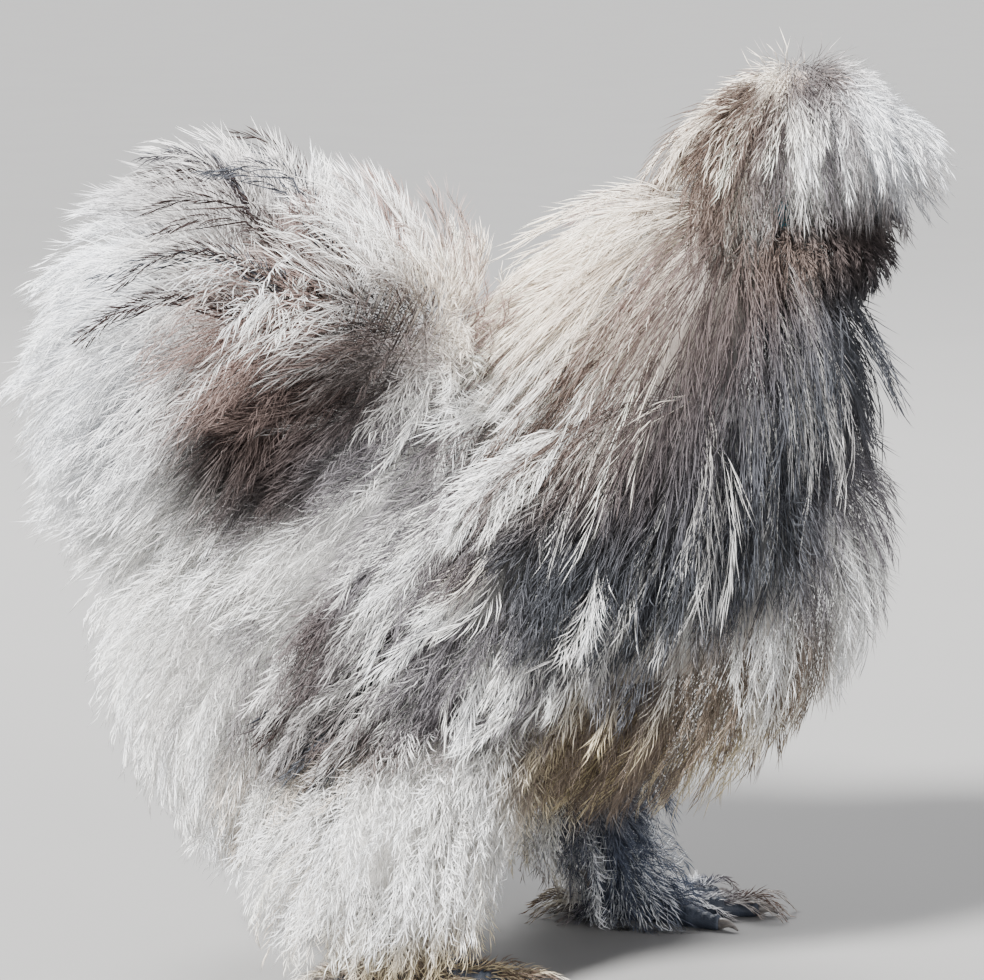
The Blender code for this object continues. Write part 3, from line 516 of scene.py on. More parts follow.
# Splash pattern of light and dark feathers over skin and coat; some patches are painted shade rather than feather
# colour, as marked below.
SPLASH_AND_SHADE = Markings(
    marks=(
        Mark((170, 0, 334), (26, 60, 26), Hue.COOL_WHITE, Hue.PEARL, 0.12, 6.0),
        Mark((126, 8, 366), (30, 34, 14), Hue.CREAM, Hue.PEARL, 0.25, 1.5),
        Mark((133, 28, 354), (9, 30, 9), Hue.ROSE_TAUPE, Hue.MAUVE, 0.95, 7.0),
        Mark((96, 24, 342), (22, 40, 20), Hue.CREAM, Hue.TAUPE, 0.76, 5.0),
        Mark((80, 20, 318), (20, 44, 20), Hue.CREAM, Hue.TAUPE, 0.72, 3.0),
        Mark((128, 40, 324), (22, 26, 24), Hue.WHITE, Hue.ASH, 0.38, 2.0),
        # Painted shade under the crest's front, over the face and beak.
        Mark((166, 14, 306), (16, 34, 9), Hue.ASH, Hue.MAUVE, 0.6, 3.0),
        # Dark beard feathers, made darker still as painted shade under the crest.
        Mark((150, 14, 288), (18, 40, 14), Hue.TAUPE, Hue.UMBER, 0.85, 4.0),
        Mark((112, 44, 286), (24, 28, 18), Hue.PEARL, Hue.TAUPE, 0.65, 2.0),
        Mark((46, 50, 262), (30, 48, 22), Hue.CREAM, Hue.TAUPE, 0.55, 3.0),
        Mark((94, 60, 258), (30, 44, 26), Hue.CREAM, Hue.MAUVE, 0.84, 4.0),
        Mark((28, 40, 276), (44, 54, 24), Hue.CREAM, Hue.ROSE_TAUPE, 0.15, 3.0),
        Mark((26, 90, 220), (34, 40, 26), Hue.WHITE, Hue.TAUPE, 0.45, 2.5),
        Mark((66, 96, 214), (32, 44, 26), Hue.CREAM, Hue.MAUVE, 0.84, 5.0),
        Mark((122, 60, 228), (20, 70, 32), Hue.WHITE, Hue.SLATE, 0.8, 6.0),
        Mark((98, 94, 190), (34, 80, 36), Hue.WHITE, Hue.SLATE, 0.92, 10.0),
        Mark((46, 106, 174), (34, 50, 28), Hue.WHITE, Hue.SLATE, 0.76, 6.0),
        # Painted shade: the front of the breast beyond the hackle, cool grey in shade.
        Mark((162, 16, 246), (16, 44, 32), Hue.SHADE_BLUE_GREY, Hue.SLATE, 0.85, 6.0),
        Mark((140, 44, 232), (15, 40, 34), Hue.PEARL, Hue.SLATE, 0.7, 7.0),
        Mark((148, 30, 176), (20, 54, 38), Hue.WHITE, Hue.ASH, 0.7, 4.0),
        # Buff belly feathers, made darker as painted shade where the belly and far thigh lie in shade.
        Mark((96, 30, 84), (44, 50, 22), Hue.STRAW, Hue.BELLY, 0.6, 3.0),
        Mark((46, 44, 78), (26, 44, 26), Hue.STRAW, Hue.BELLY, 0.75, 4.0),
        Mark((110, 50, 118), (34, 50, 24), Hue.WHITE, Hue.BELLY, 0.7, 3.0),
        Mark((-60, 92, 150), (12, 26, 12), Hue.PEARL, Hue.MAUVE, 0.85, 4.0),
        Mark((-5, 92, 174), (10, 24, 8), Hue.CREAM, Hue.MAUVE, 0.8, 4.0),
        Mark((26, 92, 150), (9, 24, 12), Hue.PEARL, Hue.SLATE, 0.8, 4.0),
        Mark((60, 88, 128), (10, 30, 16), Hue.PEARL, Hue.SLATE, 0.75, 4.0),
        Mark((-20, 96, 140), (34, 36, 34), Hue.WHITE, Hue.ASH, 0.48, 2.5),
        # Painted shade along the top of the hock ball, under the wing.
        Mark((-48, 104, 100), (30, 30, 6), Hue.PEARL, Hue.MAUVE, 0.6, 5.0),
        # Painted shade: a grey band between the rear fluff and the thigh.
        Mark((-90, 74, 150), (12, 40, 48), Hue.WHITE, Hue.ASH, 0.5, 3.0),
        # Dark wing tips, with painted shadow where the wing's lower edge hangs over the thigh.
        Mark((-66, 92, 116), (26, 40, 14), Hue.PEARL, Hue.MAUVE, 0.75, 5.0),
        # Painted shade in the hollow between the rear fluff and the hock ball.
        Mark((-78, 92, 92), (20, 34, 9), Hue.ASH, Hue.UMBER, 0.6, 5.0),
        Mark((-34, 80, 204), (34, 44, 26), Hue.WHITE, Hue.ASH, 0.5, 2.5),
        # Painted shadow: a dark line in the crease between the tail mass and the body and wing.
        Mark((-34, 76, 264), (18, 44, 14), Hue.MAUVE, Hue.UMBER, 0.9, 6.0),
        Mark((-62, 84, 238), (22, 50, 14), Hue.UMBER, Hue.UMBER, 0.95, 12.0),
        Mark((-88, 80, 208), (20, 50, 20), Hue.UMBER, Hue.UMBER, 0.95, 10.0),
        Mark((-94, 60, 258), (32, 60, 38), Hue.WHITE, Hue.ROSE_TAUPE, 0.68, 3.5),
        Mark((-46, 40, 304), (28, 54, 18), Hue.WHITE, Hue.ROSE_TAUPE, 0.68, 2.5),
        Mark((-110, 30, 304), (40, 54, 14), Hue.PEARL, Hue.SLATE, 0.6, 3.0),
        Mark((-164, 20, 250), (34, 70, 60), Hue.COOL_WHITE, Hue.PEARL, 0.08, 4.0),
        Mark((-125, 30, 140), (46, 70, 46), Hue.WHITE, Hue.PEARL, 0.08, 4.0),
        Mark((-45, 72, 58), (48, 50, 30), Hue.WHITE, Hue.CREAM, 0.1, 7.0),
        Mark((-10, 62, 14), (40, 44, 12), Hue.STRAW, Hue.BELLY, 0.45, 4.0),
        Mark((8, 70, 3), (22, 44, 6), Hue.BELLY, Hue.RUST, 0.6, 4.0),
        # Painted shade: cool grey on the feathers of the far leg.
        Mark((84, 56, 34), (40, 50, 30), Hue.COOL_WHITE, Hue.SHADE_BLUE_GREY, 0.55, 6.0),
        Mark((118, 56, 8), (16, 40, 12), Hue.BELLY, Hue.RUST, 0.6, 4.0),
    ),
    ground=Mark((0, 0, 0), (1, 1, 1), Hue.WHITE, Hue.PEARL, 0.3, 0.08),
)


@dataclass(frozen=True)
class Cut:
    """How one kind of feather is made.

    Attributes:
        barbs: How many barbs it carries.
        barb: Their length.
        fine: Their width.
        spread: The angle between shaft and barbs, in degrees.
        fluff: How far barbs leave the feather's plane, from 0 to 1.
        wobble: How unevenly they bend.
        shaft: Width of the shaft.
        start: Where barbs begin along the shaft; below 0 is under the flesh line.
        bends: Rings along a barb.
        droop: How far they sink.
    """

    barbs: int
    barb: float
    fine: float
    spread: float
    fluff: float
    wobble: float
    shaft: float = 0.42
    start: float = 0.0
    bends: int = 1
    droop: float = 0.12


# How the feathers near a place lie: their length past the flesh, and their angles above it at root and tip.
Lie = tuple[Place, float, float, float]


@dataclass
class Feathers:
    """Many feathers as arrays: roots on the skin, the way from the flesh line to the tip, and the rest.

    Attributes:
        roots: Where each leaves the skin.
        ways: Six places along each, from the flesh line to its tip.
        across: The direction across each.
        spots: Its place on the unwrap of the skin.
        draws: From 0 to 1: the darkest feathers of a place have the lowest.
    """

    roots: Array
    ways: Array
    across: Array
    spots: Array
    draws: Array

    def pick(self, chosen: Array) -> "Feathers":
        """Those feathers alone."""
        parts = (self.roots, self.ways, self.across, self.spots, self.draws)
        return Feathers(*(part[chosen] for part in parts))

    def along(self, share: Array) -> Array:
        """A place on each feather: 0 is the flesh line, 1 the tip and -1 the root.

        Args:
            share: One number for each feather, or a row of them.

        Returns:
            The places, with the shape of share.
        """
        steps = self.ways.shape[1] - 1
        share = share if share.ndim == 2 else share[:, None]
        place = np.clip(share, 0, 1) * steps
        i = np.minimum(place.astype(int), steps - 1)
        rest = (place - i)[..., None]
        rows = np.arange(len(self.ways))[:, None]
        spot = self.ways[rows, i] * (1 - rest) + self.ways[rows, i + 1] * rest
        sunk = np.clip(-share, 0, 1)[..., None]
        return spot * (1 - sunk) + self.roots[:, None] * sunk

    def heading(self, share: Array) -> Array:
        """The direction along each feather at those places."""
        return unit(self.along(np.minimum(share + 0.06, 1)) - self.along(share - 0.06))


class Strand:
    """One closed, three-sided strand: a profile spun round its length, whose rings ride on the points of a way."""

    def __init__(self, widths: Sequence[float]) -> None:
        """Spins the strand.

        Args:
            widths: The half-width of each ring between the two pointed ends.
        """
        bm = bmesh.new()
        heights = range(len(widths) + 2)
        profile = [bm.verts.new((r, 0, h)) for h, r in zip(heights, (0, *widths, 0))]
        for pair in zip(profile, profile[1:]):
            bm.edges.new(pair)
        spin_closed(bm, 3)
        bmesh.ops.triangulate(bm, faces=bm.faces)
        bm.verts.index_update()
        spots = np.array([v.co for v in bm.verts])
        self.station = np.rint(spots[:, 2]).astype(int)
        self.radius = np.hypot(spots[:, 0], spots[:, 1])
        self.turn = np.arctan2(spots[:, 1], spots[:, 0])
        self.faces = np.array([[v.index for v in f.verts] for f in bm.faces])
        bm.free()

    def sweep(self, ways: Array, widths: Array) -> Array:
        """Lays a copy of the strand along each way.

        Args:
            ways: Places, one more than the rings between the ends plus one, for each copy.
            widths: The full width of each copy.

        Returns:
            The vertices of each copy.
        """
        ahead = unit(np.gradient(ways, axis=1))
        guide = np.where(np.abs(ahead[..., 2:]) > 0.9, (1.0, 0.0, 0.0), (0.0, 0.0, 1.0))
        side = unit(np.cross(ahead, guide))
        over = np.cross(side, ahead)
        reach = (self.radius * widths[:, None] / 2)[..., None]
        aside, above = np.cos(self.turn)[:, None], np.sin(self.turn)[:, None]
        spoke = side[:, self.station] * aside + over[:, self.station] * above
        return ways[:, self.station] + spoke * reach


# The steps of a feather's way, how unevenly feathers lie, in degrees, and how short they may be, in millimetres.
STEPS = 5
RUFFLED = 6.0
SHORTEST = 6.0
# The least and most that one feather's length is, as a share of its lie's.
LENGTHS: Span = (0.82, 1.08)
# Rows of roots stand this much closer than the roots in a row, and a root may stray by this share of the space.
ROW_STEP = 0.87
STRAYING = 0.35
# Where along a feather the rings of its shaft are: -1 is the root, 0 the flesh line and 1 the tip.
SHAFT_STOPS = (-1.0, 0.05, 0.55, 1.0)
# Light and dark streaks count this much, and chance the rest.
STREAKED = 0.6
SHAFT = Strand((1.0, 0.9))
BARBS = {1: Strand((1.0,)), 2: Strand((0.95, 0.85))}


@dataclass
class Tuft:
    """Vertices, faces, colours and unwrap places of joined strands, gathered piece by piece."""

    verts: list[Array] = field(default_factory=list)
    faces: list[Array] = field(default_factory=list)
    tones: list[Array] = field(default_factory=list)
    spots: list[Array] = field(default_factory=list)
    count: int = 0

    def add(self, strand: Strand, verts: Array, tones: Array, spots: Array) -> None:
        """Adds copies of a strand.

        Args:
            strand: What was swept.
            verts: The vertices of each copy.
            tones: The colour at each vertex.
            spots: The unwrap place of each vertex.
        """
        copies, size = verts.shape[:2]
        starts = self.count + np.arange(copies) * size
        self.verts.append(verts.reshape(-1, 3))
        self.tones.append(tones.reshape(-1, 3))
        self.spots.append(spots.reshape(-1, 2))
        self.faces.append((strand.faces[None] + starts[:, None, None]).reshape(-1, 3))
        self.count += copies * size

    def build(self, name: str) -> Object:
        """The joined strands as one mesh object of that name, with their colours and their map.

        Args:
            name: The piece's name.

        Returns:
            The object.
        """
        verts = home(np.concatenate(self.verts))
        verts[:, 2] = np.maximum(verts[:, 2], FLOOR_GAP * MM)
        faces = np.concatenate(self.faces)
        mesh = bpy.data.meshes.new(name)
        mesh.vertices.add(len(verts))
        mesh.vertices.foreach_set("co", verts.astype(np.float32).ravel())
        mesh.loops.add(faces.size)
        mesh.loops.foreach_set("vertex_index", faces.astype(np.int32).ravel())
        mesh.polygons.add(len(faces))
        mesh.polygons.foreach_set("loop_start", np.arange(len(faces), dtype=np.int32) * 3)
        mesh.update(calc_edges=True)
        mesh.polygons.foreach_set("use_smooth", np.ones(len(faces), bool))
        lay_colours(mesh, "coat_colour", np.concatenate(self.tones))
        chart = mesh.uv_layers.new(name="OFBake")
        chart.data.foreach_set("uv", np.concatenate(self.spots)[faces.ravel()].astype(np.float32).ravel())
        return add_object(name, mesh)


@dataclass(frozen=True)
class Chart:
    """A part's rectangle on the unwrap of the skin: across is round the part, up is along it."""

    low: tuple[float, float]
    size: tuple[float, float]

    def spots(self, t: Array, angle: Array) -> Array:
        """Unwrap places of points on the part, kept a patch's width inside the rectangle."""
        share = np.stack((np.mod(angle / (2 * np.pi), 1), np.clip(t, 0, 1)), -1)
        return np.array(self.low) + share * (np.array(self.size) - 1.5 * PATCH)


@dataclass(frozen=True)
class Plumage:
    """Dresses arrays of feathers with shafts and barbs.

    Attributes:
        markings: The pattern that colours them, with any painted shade in it.
        seen_at: Where along a feather its three colours are read off the pattern.
        shades: How much lighter each of them is than the pattern.
        edge: How wide the step from light to dark feathers is.
        unevenness: How much lighter or darker single feathers are.
        last_barb: Where along the shaft the barbs end.
        closing: How much less the barbs spread at the tip, as a share.
        shortening: How much shorter they are there.
        twist: How unevenly they leave the feather's plane, as a share of the cut's fluff.
        spreads: The least and most that one barb's spread is, as a share of the cut's.
        lengths: The same for its length.
        widths: The same for its width.
        onward: How firmly a barb turns back to the feather's own way.
        curling: How unevenly one barb bends, as a share of the cut's wobble.
        barb_span: How far along the feather a barb's tip takes its colour, past where it starts.
    """

    markings: Markings
    seen_at: Place = (0.1, 0.5, 0.95)
    shades: Place = (0.9, 1.0, 1.04)
    edge: float = 0.12
    unevenness: float = 0.07
    last_barb: float = 0.97
    closing: float = 0.55
    shortening: float = 0.3
    twist: float = 0.6
    spreads: Span = (0.7, 1.25)
    lengths: Span = (0.7, 1.15)
    widths: Span = (0.75, 1.2)
    onward: float = 0.5
    curling: float = 0.45
    barb_span: float = 0.3

    def tones(self, feathers: Feathers, rng: np.random.Generator) -> Array:
        """Colours of each feather at its foot, its middle and its tip, each from the pattern where that place lies.

        Args:
            feathers: The feathers.
            rng: Where chance comes from.

        Returns:
            Three colours for each.
        """
        count = len(feathers.roots)
        seen = feathers.along(np.broadcast_to(np.array(self.seen_at), (count, 3)))
        light, dark, share = (part.reshape(count, 3, -1) for part in self.markings.at(seen.reshape(-1, 3)))
        darkness = np.clip((share - feathers.draws[:, None, None]) / self.edge + 0.5, 0, 1)
        body = light * (1 - darkness) + dark * darkness
        body *= rng.normal(1, self.unevenness, (count, 1, 1)) * np.array(self.shades)[:, None]
        return np.clip(body, 0, BRIGHTEST)

    def dress(self, feathers: Feathers, cut: Cut, rng: np.random.Generator) -> Tuft:
        """Shafts and barbs of the feathers.

        Args:
            feathers: The feathers.
            cut: How they are made.
            rng: Where chance comes from.

        Returns:
            Their strands.
        """
        tuft = Tuft()
        count = len(feathers.roots)
        tones = self.tones(feathers, rng)
        shares = np.broadcast_to(np.array(SHAFT_STOPS), (count, len(SHAFT_STOPS)))
        ways = feathers.along(shares)
        self.lay(tuft, SHAFT, ways, np.full(count, cut.shaft), shares, np.zeros(count), tones, feathers.spots)

        step = (self.last_barb - cut.start) / cut.barbs
        at = cut.start + step * (np.arange(cut.barbs) + rng.random((count, cut.barbs)))
        side = np.where((np.arange(cut.barbs) % 2)[None] == 0, 1.0, -1.0) * np.ones((count, 1))
        barbs = self.barb_ways(feathers, cut, at, side, rng)
        stations = at.reshape(-1, 1) + np.linspace(0, self.barb_span, cut.bends + 2)
        owner = np.repeat(np.arange(count), cut.barbs)
        widths = cut.fine * rng.uniform(*self.widths, at.size)
        self.lay(tuft, BARBS[cut.bends], barbs, widths, stations, side.ravel(), tones[owner], feathers.spots[owner])
        return tuft

    def barb_ways(self, feathers: Feathers, cut: Cut, at: Array, side: Array, rng: np.random.Generator) -> Array:
        """The way of each barb from the shaft outwards.

        Args:
            feathers: The feathers.
            cut: How they are made.
            at: Where along its feather each barb starts, with a row for each feather.
            side: 1 or -1 for the side that it leaves to.
            rng: Where chance comes from.

        Returns:
            The places along each barb.
        """
        ahead = feathers.heading(at)
        across = unit(feathers.across[:, None] - ahead * np.sum(feathers.across[:, None] * ahead, -1, keepdims=True))
        over = np.cross(ahead, across)
        past_flesh = np.clip(at, 0, 1)
        roll = rng.normal(0, cut.fluff, (len(at), 1)) + rng.normal(0, cut.fluff * self.twist, at.shape)
        opening = np.radians(cut.spread) * (1 - self.closing * past_flesh**2) * rng.uniform(*self.spreads, at.shape)
        out = across * (side * np.cos(roll))[..., None] + over * np.sin(roll)[..., None]
        heading = ahead * np.cos(opening)[..., None] + out * np.sin(opening)[..., None]
        length = cut.barb * (1.0 - self.shortening * past_flesh) * rng.uniform(*self.lengths, at.shape)
        places = [feathers.along(at)]
        pieces = cut.bends + 1
        curl = rng.normal(0, cut.wobble, (len(at), 1, 3))
        for piece in range(pieces):
            places.append(places[-1] + heading * (length / pieces)[..., None])
            nudge = curl + rng.normal(0, self.curling * cut.wobble, (*at.shape, 3))
            heading = unit(heading + self.onward * ahead + nudge + np.array((0, 0, -cut.droop * (piece + 1))))
        return np.stack(places, -2).reshape(-1, pieces + 1, 3)

    def lay(self, tuft: Tuft, strand: Strand, ways: Array, widths: Array, shares: Array,
            side: Array, tones: Array, spots: Array) -> None:
        """Sweeps strands and gives each vertex its colour and its place in its feather's patch.

        Args:
            tuft: What gets the strands.
            strand: What is swept.
            ways: The way of each copy.
            widths: Its width.
            shares: How far along the feather each of its rings is.
            side: -1 or 1 for barbs on either side, and 0 for shafts.
            tones: The colours of its feather at foot, middle and tip.
            spots: The low corner of its patch.
        """
        verts = strand.sweep(ways, widths)
        share = np.clip(shares[:, strand.station], 0, 1)
        past = np.clip(2 * share - 1, 0, 1)[..., None]
        short = np.clip(1 - 2 * share, 0, 1)[..., None]
        shades = tones[:, :1] * short + tones[:, 1:2] * (1 - short - past) + tones[:, 2:] * past
        shades *= (1 + 0.4 * (widths / widths.mean() - 1))[:, None, None]
        out = strand.station / max(strand.station.max(), 1)
        across = 0.5 + 0.4 * side[:, None] * out[None] + 0.08 * np.sin(strand.turn + 0.6)[None]
        up = 0.06 + 0.84 * share + 0.03 * np.cos(strand.turn)[None]
        patch = spots[:, None] + PATCH * np.stack((across, up), -1)
        tuft.add(strand, verts, shades, patch)


@dataclass
class Coat:
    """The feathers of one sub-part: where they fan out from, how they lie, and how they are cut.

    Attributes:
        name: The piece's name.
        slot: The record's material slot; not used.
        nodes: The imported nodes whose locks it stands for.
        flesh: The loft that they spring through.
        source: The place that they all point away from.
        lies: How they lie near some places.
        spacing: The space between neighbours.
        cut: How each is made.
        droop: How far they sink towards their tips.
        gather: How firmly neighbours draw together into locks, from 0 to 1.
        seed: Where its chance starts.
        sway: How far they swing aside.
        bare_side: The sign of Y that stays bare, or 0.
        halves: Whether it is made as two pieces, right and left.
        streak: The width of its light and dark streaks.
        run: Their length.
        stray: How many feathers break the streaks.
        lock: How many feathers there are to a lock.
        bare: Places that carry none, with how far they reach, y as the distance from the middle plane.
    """

    name: str
    slot: str
    nodes: tuple[str, ...]
    flesh: OvalLoft
    source: Place
    lies: tuple[Lie, ...]
    spacing: float
    cut: Cut
    droop: float
    gather: float
    seed: int
    sway: float = 0.12
    bare_side: int = 0
    halves: bool = False
    streak: float = 14.0
    run: float = 60.0
    stray: float = 0.12
    lock: int = 6
    bare: tuple[tuple[Place, float], ...] = ()

    def starts(self, rng: np.random.Generator) -> tuple[Array, Array]:
        """Even, staggered and slightly shaken places on the flesh.

        Args:
            rng: Where chance comes from.

        Returns:
            Places along it and angles round it.
        """
        marks = np.linspace(0, 1, 200)
        meridian = self.flesh.points(marks, np.zeros(200))
        lengths = np.r_[0, np.cumsum(np.linalg.norm(np.diff(meridian, axis=0), axis=1))]
        rows = max(2, round(lengths[-1] / (self.spacing * ROW_STEP)))
        ts, angles = [], []
        for row in range(rows):
            t = np.interp((row + 0.5) / rows * lengths[-1], lengths, marks)
            _, wide, deep, _ = self.flesh.section(np.array([t]))
            count = max(3, round(math.pi * float(wide[0] + deep[0]) / self.spacing))
            turn = 2 * np.pi * (np.arange(count) + 0.5 * (row % 2) + rng.uniform(-STRAYING, STRAYING, count)) / count
            ts.append(t + rng.uniform(-STRAYING, STRAYING, count) / rows)
            angles.append(turn + np.pi / 2)
        return np.clip(np.concatenate(ts), 0.002, 0.998), np.concatenate(angles)

    def lie_at(self, places: Array) -> Array:
        """Length and the two angles at each place, blended from the lies by distance.

        Args:
            places: Places in the bird's frame.

        Returns:
            Three numbers for each.
        """
        spots = folded(places)
        gaps = np.stack([np.sum((spots - np.array(place)) ** 2, -1) for place, *_ in self.lies], -1)
        weights = 1 / (gaps + 4.0) ** 1.5
        table = np.array([row[1:] for row in self.lies])
        return weights @ table / weights.sum(-1, keepdims=True)

    def carries(self, flesh: Array, normal: Array, others: Sequence[BVHTree]) -> Array:
        """Which places carry a feather: those off the bare side, off the bare places and outside the neighbours.

        Args:
            flesh: The places.
            normal: The directions out of the flesh there.
            others: Flesh of the neighbours.

        Returns:
            True or false for each.
        """
        free = normal[:, 1] * self.bare_side < 0.25
        for place, reach in self.bare:
            free &= np.linalg.norm(folded(flesh) - place, axis=-1) > reach
        for i in np.flatnonzero(free):
            free[i] = not any(is_inside(tree, flesh[i], BURIED) for tree in others)
        return free

    def paths(self, flesh: Array, normal: Array, rng: np.random.Generator) -> tuple[Array, Array]:
        """The way of each feather by itself, and the direction across it.

        Args:
            flesh: Where they spring through the flesh.
            normal: The directions out of the flesh there.
            rng: Where chance comes from.

        Returns:
            Places along each feather, and one direction for each.
        """
        lie = self.lie_at(flesh)
        count = len(flesh)
        length = (lie[:, 0] - 0.5 * self.cut.barb) * rng.uniform(*LENGTHS, count)
        length = np.maximum(length, SHORTEST)
        lift = np.radians(lie[:, 1] + rng.normal(0, RUFFLED, count))
        settle = np.radians(lie[:, 2] + rng.normal(0, RUFFLED, count))
        ray = flesh - np.array(self.source) + rng.normal(0, 2.0, (count, 3))
        ahead = unit(ray - normal * np.sum(ray * normal, -1, keepdims=True))
        across = unit(np.cross(normal, ahead))
        phase = rng.uniform(0, 2 * np.pi, count)
        places = [flesh]
        for k in range(STEPS):
            middle = (k + 0.5) / STEPS
            bend = lift + (settle - lift) * middle
            swing = (self.sway * np.sin(phase + 2.6 * middle))[:, None]
            heading = ahead * np.cos(bend)[:, None] + normal * np.sin(bend)[:, None] + across * swing
            heading += np.array((0, 0, -self.droop * middle))
            places.append(places[-1] + unit(heading) * (length / STEPS)[:, None])
        return np.stack(places, 1), across

    def grow(self, chart: Chart, skin: BVHTree, others: Sequence[BVHTree]) -> Feathers:
        """The feathers as arrays, rooted on the skin and drawn together into locks.

        Args:
            chart: The part's place on the unwrap.
            skin: The bare body.
            others: Flesh of the neighbours; a feather that would start inside one is left out.

        Returns:
            The feathers.
        """
        rng = np.random.default_rng(self.seed)
        t, angle = self.starts(rng)
        flesh, normal = self.flesh.points(t, angle), self.flesh.normals(t, angle)
        free = self.carries(flesh, normal, others)
        t, angle, flesh, normal = t[free], angle[free], flesh[free], normal[free]
        ways, across = self.paths(flesh, normal, rng)
        leaders = rng.choice(len(t), max(1, len(t) // self.lock), replace=False)
        lead = leaders[np.argmin(np.sum((flesh[:, None] - flesh[None, leaders]) ** 2, -1), 1)]
        drawn_in = self.gather * np.linspace(0, 1, STEPS + 1) ** 1.5
        ways = ways + (ways[lead] - ways) * drawn_in[None, :, None]
        back = -unit(ways[:, 1] - ways[:, 0])
        roots = np.array([root_on(skin, place, way) for place, way in zip(flesh, back)])
        return Feathers(roots, ways, across, chart.spots(t, angle), self.draws(t, angle, lead, rng))

    def draws(self, t: Array, angle: Array, lead: Array, rng: np.random.Generator) -> Array:
        """Chance that runs along the lie in streaks, shared by the feathers of a lock.

        Args:
            t: Places along the flesh.
            angle: Places round it.
            lead: The feather that leads each one's lock.
            rng: Where chance comes from.

        Returns:
            Numbers spread evenly from 0 to 1.
        """
        marks = np.linspace(0, 1, 40)
        centre, wide, deep, _ = self.flesh.section(marks)
        columns = max(6, round(math.pi * float(np.max(wide + deep)) / self.streak))
        rows = max(2, round(float(np.sum(np.linalg.norm(np.diff(centre, axis=0), axis=1))) / self.run) + 1)
        grid = rng.random((rows + 1, columns))
        down, round_it = t * (rows - 1), np.mod(angle / (2 * np.pi), 1) * columns
        i, j = down.astype(int), round_it.astype(int)
        v, u = smooth_share(down - i), smooth_share(round_it - j)
        j, k = j % columns, (j + 1) % columns
        above, below = (grid[row, j] * (1 - u) + grid[row, k] * u for row in (i, i + 1))
        streaks = above * (1 - v) + below * v
        mixed = (STREAKED * streaks + (1 - STREAKED) * rng.random(len(t)))[lead] + self.stray * rng.random(len(t))
        return (np.argsort(np.argsort(mixed)) + 0.5) / len(t)


def is_inside(tree: BVHTree, place: Array, depth: float) -> bool:
    """Whether a place is deeper than that inside a closed body."""
    spot, normal, _, distance = tree.find_nearest(Vector(place))
    return distance > depth and (Vector(place) - spot).dot(normal) < 0


def root_on(skin: BVHTree, place: Array, back: Array) -> Array:
    """Where a feather that comes down to a place in that direction leaves the skin, sunk by a millimetre."""
    hit, _, _, distance = skin.ray_cast(Vector(place), Vector(back), ROOT_SEARCH)
    if hit is None or distance > LONGEST_ROOT:
        hit, normal, _, _ = skin.find_nearest(Vector(place))
        back = np.array(-normal)
    return np.array(hit) + back


@dataclass(frozen=True)
class Spray:
    """A few long feathers that stand apart from a coat, each on a curve of three points.

    Attributes:
        curves: Root, middle and tip of each curve.
        copies: How many feathers follow each.
        shake: How far they stray from it.
        cut: How they are made.
        seed: Where its chance starts.
        straying: How much of that counts along x, y and z.
        tilt: How unevenly they turn about their own length.
        depth: How deep their roots are.
    """

    curves: tuple[Curve, ...]
    copies: int
    shake: float
    cut: Cut
    seed: int
    straying: Place = (0.4, 1.0, 1.0)
    tilt: float = 0.25
    depth: float = 8.0

    def grow(self, chart: Chart) -> Feathers:
        """The feathers as arrays, with their places on the part's chart.

        Args:
            chart: The part's place on the unwrap.

        Returns:
            The feathers.
        """
        rng = np.random.default_rng(self.seed)
        knots = np.repeat(np.array(self.curves, float), self.copies, 0)
        knots = knots + rng.normal(0, self.shake, knots.shape) * np.array(self.straying)[None, :, None]
        u = np.linspace(0, 1, STEPS + 1)[None, :, None]
        ways = knots[:, :1] * (1 - u) ** 2 + 2 * knots[:, 1:2] * u * (1 - u) + knots[:, 2:] * u**2
        ahead = unit(ways[:, -1] - ways[:, 0])
        across = unit(np.cross(ahead, np.array((0.0, 1.0, 0.0))) + rng.normal(0, self.tilt, ahead.shape))
        roots = ways[:, 0] - unit(ways[:, 1] - ways[:, 0]) * self.depth
        count = len(ways)
        spots = chart.spots(rng.random(count), rng.uniform(0, 2 * np.pi, count))
        return Feathers(roots, ways, across, spots, rng.random(count))


def mirrored_curves(curves: Iterable[Curve]) -> tuple[Curve, ...]:
    """The curves and their mirror images in the bird's middle plane."""
    return tuple(tuple((x, sign * y, z) for x, y, z in curve) for curve in curves for sign in (-1, 1))


@dataclass(frozen=True)
class Toe:
    """A toe: its heading out from straight ahead in degrees, its length, and how high its tip stands."""

    name: str
    heading: float
    length: float
    rise: float


TOES = (
    Toe("inner", -30, 40, 0),
    Toe("middle", 2, 52, 0),
    Toe("outer", 36, 45, 0),
    Toe("hind", 176, 25, 0),
    Toe("fifth", -146, 22, 13),
)
TOE_RADIUS = 4.4
TOE_SWELLS = ((0, 1.1), (0.18, 1.0), (0.36, 1.12), (0.5, 0.92), (0.66, 1.05), (0.8, 0.84), (1, 0.72))
CLAW_LENGTH = 8.5


